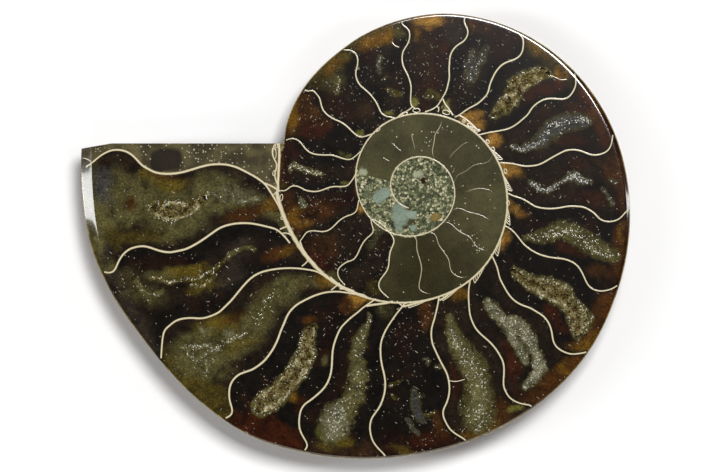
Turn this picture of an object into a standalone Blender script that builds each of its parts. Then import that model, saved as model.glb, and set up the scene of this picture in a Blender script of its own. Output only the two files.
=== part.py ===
"""Polished half of an ammonite fossil, lying on its rounded back with the cut face up.

Metres, +Z up. +X runs to the photograph's right and +Y to its top. The origin is under
the middle of the stone, at the surface that it lies on.
"""
import math
import random

import bmesh
import bpy
from mathutils import Matrix, Vector

MM = 0.001

# Size of the stone
THICKNESS = 12.8 * MM            # from the resting surface to the polished face
SPIRAL_MIDDLE = Vector((12.4, 10.1)) * MM
WALL_RADIUS_AT_180 = 69.0 * MM   # outer wall, measured straight to the left of the spiral's middle
GROWTH_PER_TURN = 2.365
WHORLS = 4
SAW_CUT_ABOVE_MIDDLE = 9.33 * MM

# Where the wall swells out of the even spiral: angle in degrees along it, extra radius in mm
WALL_SWELLS = (
    (172, 0.25), (180, 0.8), (190, 1.6), (198, 1.4), (210, 0.8), (225, 1.45), (236, 1.95),
    (246, 1.3), (257, 0.6), (270, 0.0), (315, 0.0), (331, -0.5), (354, -0.5), (382, 0.0),
    (440, 0.0), (455, -0.4), (471, -0.75), (480, -0.95), (500, -0.75), (512, -0.8), (522, -1.2),
    (531, -0.4), (541, 0.0),
)

# Worn end of the saw cut, at the stone's left corner
WORN_LENGTH = 6.3 * MM
WORN_DROP = 1.1 * MM

# Rounded edge between the polished face and the outer wall
EDGE_WIDTH = 0.5 * MM
EDGE_WIDTH_LEFT = 1.4 * MM
EDGE_WIDTH_RIGHT = 0.5 * MM
EDGE_DROP_SHARE = 0.6

# Flank at the back, in shares of the whorl's own radius
CREST_SHARE = 0.52
UMBILICUS_SHARE = 0.16
UMBILICUS_WALL_SHARE = 0.06
SHOULDER_LOSS = 0.05
FLANK_ROUNDNESS = 1.85
LEVEL_UNTIL = 400                # degrees: the flank's crest touches the table up to here
THINNING = 0.75                  # how fast the older whorls get thinner, against the spiral
THINNEST = 4.0 * MM

RIBS_PER_TURN = 26
RIB_DEPTH = 0.4 * MM
RIB_SWEEP = 26                   # degrees that a rib leans forward towards the rim

# Mesh of the back
COLUMNS = 90
FLANK_STEPS = 12
INNER_RADIUS = 11.4 * MM
UMBILICUS_RINGS = (0.9, 0.8, 0.7, 0.6, 0.5, 0.4, 0.31, 0.22, 0.13, 0.06)

# Open pockets: points on the middle line as x, y and half width, all in mm
POCKETS = {
    "left": ((-42.5, 5.7, 0.95), (-40.4, 5.2, 1.8), (-38.1, 5.4, 2.1), (-35.8, 5.6, 1.55),
             (-33.9, 6.4, 1.15), (-32.0, 7.9, 0.9)),
    "bottom": ((-8.9, -18.7, 0.6), (-10.0, -20.6, 1.2), (-10.3, -22.6, 1.4), (-10.7, -25.1, 1.85),
               (-12.3, -27.9, 1.9), (-14.6, -30.8, 1.8), (-16.9, -33.2, 2.1), (-19.5, -35.0, 2.0),
               (-20.5, -36.1, 1.2)),
    "right": ((32.7, -7.0, 0.7), (34.7, -8.6, 1.15), (37.0, -9.9, 1.55), (39.9, -10.9, 2.0),
              (42.7, -12.2, 2.15), (44.7, -14.5, 1.6), (46.4, -16.7, 2.1), (46.2, -18.9, 1.5),
              (46.0, -20.6, 0.9)),
    "top": ((39.8, 34.1, 0.9), (37.9, 33.8, 1.4), (35.9, 33.0, 1.6), (33.9, 31.7, 1.75),
            (32.8, 29.7, 1.6), (31.6, 27.9, 1.5), (30.1, 26.5, 1.3), (28.7, 25.4, 0.7)),
}
POCKET_DEPTH = 2.6 * MM
POCKET_TAPER = 0.6               # floor's width as a share of the mouth's
CELL_LENGTH = 1.3 * MM           # length of one crystal along the pocket
CELLS_ACROSS = 4
CRUST_GAP = 0.3 * MM
CRUST_RIM_DROP = 0.35 * MM
CRUST_HOLLOW = 1.0 * MM
CRYSTAL_HEIGHT = 0.75 * MM
CRYSTAL_JITTER = 0.22
SEED = 11


def smooth_step(x):
    """Ease from 0 to 1 as x goes from 0 to 1."""
    x = min(max(x, 0.0), 1.0)
    return x * x * (3 - 2 * x)


def bump(x, middle, reach):
    """Smooth bump: 1 in the middle, 0 at the reach and beyond it."""
    share = min(abs(x - middle) / reach, 1.0)
    return (1 - share * share) ** 2


def smooth_between(before, start, end, after, share):
    """Catmull-Rom curve from start to end, led in and out by the points on both sides."""
    linear = end - before
    square = before * 2 - start * 5 + end * 4 - after
    cube = (start - end) * 3 + after - before
    return start + (linear + (square + cube * share) * share) * (share * 0.5)


def wall_swell(angle):
    """Extra wall radius at an angle along the spiral."""
    if not WALL_SWELLS[0][0] < angle < WALL_SWELLS[-1][0]:
        return 0.0
    last = len(WALL_SWELLS) - 1
    i = next(i for i in range(last) if angle <= WALL_SWELLS[i + 1][0])
    near = [WALL_SWELLS[min(max(j, 0), last)] for j in (i - 1, i, i + 1, i + 2)]
    share = (angle - near[1][0]) / (near[2][0] - near[1][0])
    return smooth_between(*(swell for _, swell in near), share) * MM


def wall_radius(angle):
    """Radius of the whorl's outer wall, at an angle in degrees along the spiral."""
    return WALL_RADIUS_AT_180 * GROWTH_PER_TURN ** ((180 - angle) / 360) + wall_swell(angle)


def whorl_thickness(angle):
    """Greatest depth of the flank below the polished face, at an angle along the spiral."""
    turns_back = max(angle - LEVEL_UNTIL, 0) / 360
    return max(THICKNESS * GROWTH_PER_TURN ** (-THINNING * turns_back), THINNEST)


def flank_share(share):
    """Depth of the flank as a share of its crest, from the radius as a share of the wall's."""
    if share >= 1:
        return 0.0
    if share >= CREST_SHARE:
        outward = (share - CREST_SHARE) / (1 - CREST_SHARE)
        return math.sqrt(1 - outward ** FLANK_ROUNDNESS)
    inward = (CREST_SHARE - share) / (CREST_SHARE - UMBILICUS_SHARE)
    shoulder = 1 - SHOULDER_LOSS * min(inward, 1.0) ** 2
    return shoulder * (1 - smooth_step((UMBILICUS_SHARE - share) / UMBILICUS_WALL_SHARE))


def rib_depth(angle, share):
    """Depth of the groove between two ribs, which curve forward towards the rim."""
    window = smooth_step((share - 0.62) / 0.15) * smooth_step((0.99 - share) / 0.05)
    phase = (angle + RIB_SWEEP * share * share) * RIBS_PER_TURN / 360
    return RIB_DEPTH * window * (0.5 - 0.5 * math.cos(math.tau * phase))


def edge_width(turn):
    """Width of the rounded edge, which is broader where the wall was worn."""
    left = EDGE_WIDTH_LEFT * bump(turn, 188, 48)
    return EDGE_WIDTH + left + EDGE_WIDTH_RIGHT * bump(turn, 372, 60)


def back_depth(angle, radius, edge_drop):
    """Depth of the back below the polished face: the thickest of the whorls lying there."""
    deepest = THINNEST if radius < INNER_RADIUS else edge_drop
    for whorl in range(WHORLS):
        along = angle + 360 * whorl
        share = radius / wall_radius(along)
        crest = whorl_thickness(along) - edge_drop
        depth = edge_drop + crest * flank_share(share)
        if whorl == 0:
            depth -= rib_depth(along, share)
        deepest = max(deepest, depth)
    return deepest


def growth_line(turn, reach):
    """Point on the growth line at this turn. The saw cut is the growth line at 180."""
    direction = Vector((math.cos(math.radians(turn)), math.sin(math.radians(turn))))
    side = Vector((direction.y, -direction.x))
    return SPIRAL_MIDDLE + side * SAW_CUT_ABOVE_MIDDLE + direction * reach


def growth_angle(turn, reach):
    """Angle along the spiral of a point on a growth line."""
    return turn - math.degrees(math.atan2(SAW_CUT_ABOVE_MIDDLE, reach))


def rim_reach(turn):
    """How far along its growth line the outer wall is."""
    reach = wall_radius(turn)
    for _ in range(40):
        radius = wall_radius(growth_angle(turn, reach))
        reach = 0.5 * reach + 0.5 * math.sqrt(radius ** 2 - SAW_CUT_ABOVE_MIDDLE ** 2)
    return reach


def column_points(turn):
    """Points down one growth line, from the polished face over the rim to the umbilicus."""
    rim = rim_reach(turn)
    width = edge_width(turn)
    drop = width * EDGE_DROP_SHARE
    points = []
    for inset, lowered in ((1.0, 0.0), (0.3, 0.3), (0.0, 1.0)):
        spot = growth_line(turn, rim - inset * width)
        points.append(spot.to_3d() + Vector((0, 0, THICKNESS - lowered * drop)))
    inner = math.sqrt(INNER_RADIUS ** 2 - SAW_CUT_ABOVE_MIDDLE ** 2)
    for step in range(1, FLANK_STEPS + 1):
        reach = inner + (rim - inner) * (1 - (step / FLANK_STEPS) ** 2)
        radius = math.hypot(reach, SAW_CUT_ABOVE_MIDDLE)
        depth = back_depth(growth_angle(turn, reach), radius, drop)
        spot = growth_line(turn, reach)
        points.append(spot.to_3d() + Vector((0, 0, THICKNESS - depth)))
    return points


def umbilicus_rings(turns):
    """Rings of points from the end of the growth lines in to the middle of the umbilicus."""
    inner = math.sqrt(INNER_RADIUS ** 2 - SAW_CUT_ABOVE_MIDDLE ** 2)
    rings = []
    for share in UMBILICUS_RINGS:
        ring = []
        for turn in turns:
            angle = growth_angle(turn, inner)
            radius = INNER_RADIUS * share
            depth = back_depth(angle, radius, 0.0)
            flat = SPIRAL_MIDDLE + radius * Vector((math.cos(math.radians(angle)),
                                                    math.sin(math.radians(angle))))
            ring.append(flat.to_3d() + Vector((0, 0, THICKNESS - depth)))
        rings.append(ring)
    return rings


def make_material(name, colour, roughness):
    """Material of one piece."""
    material = bpy.data.materials.new(name)
    material.use_nodes = True
    shader = material.node_tree.nodes["Principled BSDF"]
    shader.inputs["Base Color"].default_value = (*colour, 1.0)
    shader.inputs["Roughness"].default_value = roughness
    shader.inputs["Metallic"].default_value = 0.0
    material.diffuse_color = (*colour, 1.0)
    return material


def finish_object(name, mesh_builder, material=None, sharp_angle=35):
    """Object from a finished bmesh, with its faces turned outwards."""
    bmesh.ops.recalc_face_normals(mesh_builder, faces=mesh_builder.faces)
    mesh = bpy.data.meshes.new(name)
    mesh_builder.to_mesh(mesh)
    mesh_builder.free()
    if material:
        mesh.materials.append(material)
        mesh.shade_smooth()
        mesh.set_sharp_from_angle(angle=math.radians(sharp_angle))
    piece = bpy.data.objects.new(name, mesh)
    bpy.context.scene.collection.objects.link(piece)
    return piece


def join_rings(builder, outer, inner):
    """Faces between two closed rings of the same number of vertices."""
    count = len(outer)
    for i in range(count):
        j = (i + 1) % count
        builder.faces.new((outer[i], outer[j], inner[j], inner[i]))


def stone_half():
    """The whole stone before its pockets are opened: face, rim, flank, saw cut, umbilicus."""
    builder = bmesh.new()
    turns = [180 + 360 * i / COLUMNS for i in range(COLUMNS + 1)]
    columns = [[builder.verts.new(point) for point in column_points(turn)] for turn in turns[:-1]]
    last = [builder.verts.new(point) for point in column_points(turns[-1])[:-1]]
    last.append(columns[0][-1])
    columns.append(last)

    for near, far in zip(columns, columns[1:]):
        for i in range(len(near) - 1):
            corners = (near[i], near[i + 1], far[i + 1], far[i])
            builder.faces.new(tuple(dict.fromkeys(corners)))

    polished_face = [column[0] for column in columns]
    builder.faces.new(polished_face)
    saw_cut = columns[0] + last[-2::-1]
    builder.faces.new(saw_cut)

    ring = [column[-1] for column in columns[:-1]]
    for points in umbilicus_rings(turns[:-1]):
        inner = [builder.verts.new(point) for point in points]
        join_rings(builder, ring, inner)
        ring = inner
    depth = back_depth(turns[0], 0.0, 0.0)
    middle = builder.verts.new(SPIRAL_MIDDLE.to_3d() + Vector((0, 0, THICKNESS - depth)))
    for i in range(len(ring)):
        builder.faces.new((ring[i], ring[(i + 1) % len(ring)], middle))
    return builder


def worn_corner_cutter():
    """Wedge that wears down the outer end of the saw cut."""
    corner = growth_line(180, rim_reach(180))
    start = corner + Vector((WORN_LENGTH, 0))
    slope = math.atan2(WORN_DROP, WORN_LENGTH)
    size = 4 * WORN_LENGTH
    builder = bmesh.new()
    bmesh.ops.create_cube(builder, size=size)
    place = (Matrix.Translation(start.to_3d() + Vector((0, 0, THICKNESS / 2)))
             @ Matrix.Rotation(slope, 4, "Z")
             @ Matrix.Translation((-size / 2, size / 2, 0)))
    bmesh.ops.transform(builder, matrix=place, verts=builder.verts)
    return builder


def pocket_line(name):
    """Even points along a pocket's middle line, each with its half width."""
    marks = [Vector(mark) * MM for mark in POCKETS[name]]
    length = sum((b.xy - a.xy).length for a, b in zip(marks, marks[1:]))
    count = max(round(length / CELL_LENGTH), 4)
    line = []
    for i in range(count + 1):
        place = i / count * (len(marks) - 1)
        step = min(int(place), len(marks) - 2)
        near = [marks[min(max(j, 0), len(marks) - 1)] for j in range(step - 1, step + 3)]
        line.append(smooth_between(*near, place - step))
    return line


def pocket_side(line, i):
    """Direction across a pocket at a point on its middle line."""
    ahead = line[min(i + 1, len(line) - 1)].xy - line[max(i - 1, 0)].xy
    ahead.normalize()
    return Vector((-ahead.y, ahead.x))


def pocket_outline(line, width_share, inset, height):
    """Closed outline around a pocket's middle line: its two sides and a point at each end."""
    left = []
    right = []
    for i, mark in enumerate(line):
        side = pocket_side(line, i)
        half = max(mark.z * width_share - inset, 0.15 * MM)
        left.append(mark.xy + side * half)
        right.append(mark.xy - side * half)
    ends = []
    for here, neighbour in ((line[0], line[1]), (line[-1], line[-2])):
        outward = (here.xy - neighbour.xy).normalized()
        ends.append(here.xy + outward * max(here.z * width_share - inset, 0.15 * MM))
    outline = [ends[0]] + left + [ends[1]] + right[::-1]
    return [spot.to_3d() + Vector((0, 0, height)) for spot in outline]


def pocket_cutter(name):
    """Tapered solid that opens a pocket in the polished face."""
    line = pocket_line(name)
    builder = bmesh.new()
    levels = ((1.0, THICKNESS + MM), (1.0, THICKNESS - 0.3 * MM),
              (0.5 + 0.5 * POCKET_TAPER, THICKNESS - 0.6 * POCKET_DEPTH),
              (POCKET_TAPER, THICKNESS - POCKET_DEPTH))
    rings = []
    for share, height in levels:
        rings.append([builder.verts.new(spot) for spot in pocket_outline(line, share, 0, height)])
    for upper, lower in zip(rings, rings[1:]):
        join_rings(builder, upper, lower)
    builder.faces.new(rings[0])
    builder.faces.new(rings[-1])
    return builder


def crystal_crust(name, dice):
    """Crust that lines a pocket: pyramid crystals with flat faces, lowest along the middle."""
    line = pocket_line(name)
    builder = bmesh.new()
    rim_height = THICKNESS - CRUST_RIM_DROP
    rim = [builder.verts.new(spot) for spot in pocket_outline(line, 0.97, CRUST_GAP, rim_height)]
    count = len(line)
    left = rim[1:count + 1]
    right = rim[count + 2:][::-1]

    grid = []
    for i in range(count):
        row = [left[i]]
        for j in range(1, CELLS_ACROSS):
            across = j / CELLS_ACROSS
            nudge = dice.uniform(-CRYSTAL_JITTER, CRYSTAL_JITTER) / CELLS_ACROSS
            spot = left[i].co.lerp(right[i].co, across + nudge)
            hollow = CRUST_HOLLOW * (1 - (2 * across - 1) ** 2)
            spot.z = rim_height - hollow * dice.uniform(0.8, 1.2)
            row.append(builder.verts.new(spot))
        row.append(right[i])
        grid.append(row)

    for near, far in zip(grid, grid[1:]):
        for j in range(CELLS_ACROSS):
            corners = (near[j], near[j + 1], far[j + 1], far[j])
            peak = sum((vert.co for vert in corners), Vector()) / 4
            lean = far[j].co - near[j].co
            peak += lean * dice.uniform(-CRYSTAL_JITTER, CRYSTAL_JITTER)
            peak.z = min(peak.z + CRYSTAL_HEIGHT * dice.uniform(0.6, 1.0), THICKNESS - 0.1 * MM)
            top = builder.verts.new(peak)
            for a, b in zip(corners, corners[1:] + corners[:1]):
                builder.faces.new((a, b, top))
    builder.faces.new([rim[0]] + grid[0])
    builder.faces.new([rim[count + 1]] + grid[-1])

    floor_height = THICKNESS - POCKET_DEPTH + CRUST_GAP
    floor_outline = pocket_outline(line, POCKET_TAPER, CRUST_GAP * 0.9, floor_height)
    floor = [builder.verts.new(spot) for spot in floor_outline]
    join_rings(builder, rim, floor)
    builder.faces.new(floor)
    return builder


def add_cut(piece, cutter):
    """Boolean cut of a piece, with the cutter left as a guide."""
    cutter.display_type = "WIRE"
    cutter.hide_render = True
    cut = piece.modifiers.new(cutter.name, "BOOLEAN")
    cut.operation = "DIFFERENCE"
    cut.solver = "EXACT"
    cut.object = cutter


def centre_over_origin(pieces, outline):
    """Shift all the pieces so that the stone's outline is centred on the origin."""
    low = Vector((min(p.x for p in outline), min(p.y for p in outline)))
    high = Vector((max(p.x for p in outline), max(p.y for p in outline)))
    shift = Matrix.Translation(((low + high) * -0.5).to_3d())
    for piece in pieces:
        piece.data.transform(shift)


def main():
    for leftover in list(bpy.data.objects):
        bpy.data.objects.remove(leftover)

    stone = make_material("polished_fossil_stone", (0.075, 0.05, 0.028), 0.12)
    calcite = make_material("calcite_crystals", (0.56, 0.52, 0.38), 0.35)

    half = finish_object("fossil_half", stone_half(), stone)
    outline = [vert.co.xy for vert in half.data.vertices]
    pieces = [half]
    worn = finish_object("worn_corner", worn_corner_cutter())
    pieces.append(worn)
    add_cut(half, worn)
    dice = random.Random(SEED)
    for name in POCKETS:
        cutter = finish_object("pocket_" + name, pocket_cutter(name))
        add_cut(half, cutter)
        crust = finish_object("crystal_crust_" + name, crystal_crust(name, dice), calcite, 5)
        pieces += [cutter, crust]
    centre_over_origin(pieces, outline)


main()
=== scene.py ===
"""Polished half of an ammonite fossil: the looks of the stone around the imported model.

Laid out as a Blender add-on. Metres, +Z up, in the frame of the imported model: the stone lies
on its rounded back and the polished face looks up.
"""
import math
import random

import bmesh
import bpy
import numpy as np
from bpy.props import FloatProperty, FloatVectorProperty, IntProperty, PointerProperty
from mathutils import Euler, Matrix, Vector, noise
from mathutils.geometry import delaunay_2d_cdt


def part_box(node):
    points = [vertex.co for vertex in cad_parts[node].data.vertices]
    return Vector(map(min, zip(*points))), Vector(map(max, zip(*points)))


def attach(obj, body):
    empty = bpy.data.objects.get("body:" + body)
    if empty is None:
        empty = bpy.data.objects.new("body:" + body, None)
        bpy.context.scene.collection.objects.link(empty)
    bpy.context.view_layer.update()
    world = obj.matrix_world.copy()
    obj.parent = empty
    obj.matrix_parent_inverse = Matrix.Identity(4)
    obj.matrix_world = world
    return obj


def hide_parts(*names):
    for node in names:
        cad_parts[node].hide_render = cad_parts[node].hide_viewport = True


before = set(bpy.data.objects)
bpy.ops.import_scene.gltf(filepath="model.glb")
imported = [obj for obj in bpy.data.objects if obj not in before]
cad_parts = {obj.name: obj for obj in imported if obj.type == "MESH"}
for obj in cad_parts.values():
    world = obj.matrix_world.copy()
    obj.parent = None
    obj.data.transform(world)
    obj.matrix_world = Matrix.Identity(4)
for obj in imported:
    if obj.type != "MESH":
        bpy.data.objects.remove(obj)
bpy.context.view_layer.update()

bl_info = {
    "name": "Ammonite fossil half",
    "version": (1, 0, 0),
    "blender": (4, 5, 0),
    "location": "3D View > Sidebar > Fossil",
    "description": "Builds the polished half of an ammonite fossil around its packed model",
    "category": "Object",
}

MM = 0.001
STONE_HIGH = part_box("fossil_half")[1]

# Spiral of the shell, the same as in the stone's own model, in mm and degrees along the spiral
THICKNESS = STONE_HIGH[2] / MM
SPIRAL_MIDDLE = np.array((12.594, 10.031))
WALL_RADIUS_AT_180 = 69.0
GROWTH_PER_TURN = 2.365
SAW_CUT_ABOVE_MIDDLE = 9.33
WALL_SWELLS = (
    (172, 0.25), (180, 0.8), (190, 1.6), (198, 1.4), (210, 0.8), (225, 1.45), (236, 1.95),
    (246, 1.3), (257, 0.6), (270, 0.0), (315, 0.0), (331, -0.5), (354, -0.5), (382, 0.0),
    (440, 0.0), (455, -0.4), (471, -0.75), (480, -0.95), (500, -0.75), (512, -0.8), (522, -1.2),
    (531, -0.4), (541, 0.0),
)
INNER_WALL_SWELLS = (
    (541, 0.0), (560, -0.2), (590, 0.1), (628, 0.2), (662, 0.4), (690, 0.1), (725, -0.15),
    (760, -0.2), (795, 0.0), (835, 0.55), (868, 0.35), (900, 0.05), (940, 0.0),
)
WORN_LENGTH = 6.3
WORN_DROP = 1.1
WORN_REACH = 4.5
CREST_SHARE = 0.52
UMBILICUS_SHARE = 0.16
UMBILICUS_WALL_SHARE = 0.06
SHOULDER_LOSS = 0.05
FLANK_ROUNDNESS = 1.85
LEVEL_UNTIL = 400
THINNING = 0.75
THINNEST = 4.0
RIBS_PER_TURN = 26
RIB_DEPTH = 0.4
RIB_SWEEP = 26
INNER_RADIUS = 11.4
RIM_INSET = 0.05                 # keeps the finer outline inside the faceted one
WALL_END = 1290.0                # angle at which the whorl's wall is too small to follow
SUTURES_AROUND = 18
SEAM_WIDENING = 1.45             # from the seams' bright middles to their soft edges
CRYSTALS_PER_SQUARE_MM = 19

# Polished face and its edge, in mm. Places on the rim are (turn in degrees, reach in degrees)
CROWN_ROOM = 0.04                # what the chamber walls' crowns may stand out of the face
FACE_HEIGHT = THICKNESS - CROWN_ROOM
EDGE_WIDTH = 0.5
WORN_RIM = (186, 46)
WORN_RIM_WIDTH = 1.9
RIGHT_RIM = (378, 62)
RIGHT_RIM_WIDTH = 0.75
EDGE_DROP = 0.3
DROP_PER_WIDTH = 0.44
EDGE_STEPS = 9
FLANK_STEPS = 34

# Bands of shell in the face, in mm
BAND_DEPTH = 0.25
BAND_CROWN = 0.015
BAND_SHOULDER = 0.004
BAND_RIM_GAP = 0.3
USUAL_WALL_WIDTH = 0.42          # wall between the whorls, past its thick start
TOOTHED_WALLS = range(6, 14)     # chamber walls with a toothed strip beyond the foot
TOOTH_STRIP = 9.5                # its length, in degrees along the spiral
TOOTH_HEIGHT = 1.1
TOOTH_POINTS = 14

# Photograph's frame and the camera above it
PHOTO_WIDTH = 708                # pixels
PIXEL = 0.2087                   # mm
MIDDLE_PIXEL = (416, 188)        # middle of the spiral
CAMERA_PLACE = (-0.33, 0.03)     # mm
CAMERA_DISTANCE = 1.2            # metres
SENSOR_WIDTH = 36.0

# Sizes of the patterns in the stone, in repeats per metre
CLOUD_SCALE = 330.0
GRIT_SCALE = 2600.0
SEAM_RAGGED_SCALE = 800.0
SEAM_CRYSTAL_SCALE = 3300.0
SILT_SCALE = 2400.0
MUD_PATCH_SCALE = 300.0
PALE_GRAIN_SCALE = 2100.0
PEBBLE_SCALE = 1900.0
FLANK_CLOUD_SCALE = 140.0
FLANK_PIT_SCALE = 900.0
SUTURE_FRILL_SCALE = 420.0
SAWN_CLOUD_SCALE = 400.0
SAW_MARK_SCALE = 500.0
WALL_GRAIN_SCALE = 1400.0
DRUSE_BED_SCALE = 1500.0
# Flecks of cleavage: repeats per metre, stretch, size as a share, turn in radians
FLECK_KINDS = ((2500.0, 1.0, 0.34, 0.3), (2900.0, 0.2, 0.26, 0.6), (2900.0, 0.18, 0.26, -0.9),
               (3100.0, 0.25, 0.26, 2.1))

# Lights: name, place and size in metres, power in watts. All aim at the middle of the stone
LIGHTS = (
    ("key_light", (0.15, 0.28, 1.1), (0.28, 0.28), 10.8),
    ("left_strip", (-0.72, -0.04, 0.6), (0.1, 0.9), 2.6),
    ("right_strip", (0.72, 0.05, 0.4), (0.05, 0.9), 1.2),
    ("front_fill", (0.1, -0.7, 1.2), (0.8, 0.5), 2.2),
)
WORLD_STRENGTH = 0.025
FLOOR_SIZE = 6.0
FLOOR_GAP = 0.0002               # keeps the floor clear of the stone's lowest point

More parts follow.
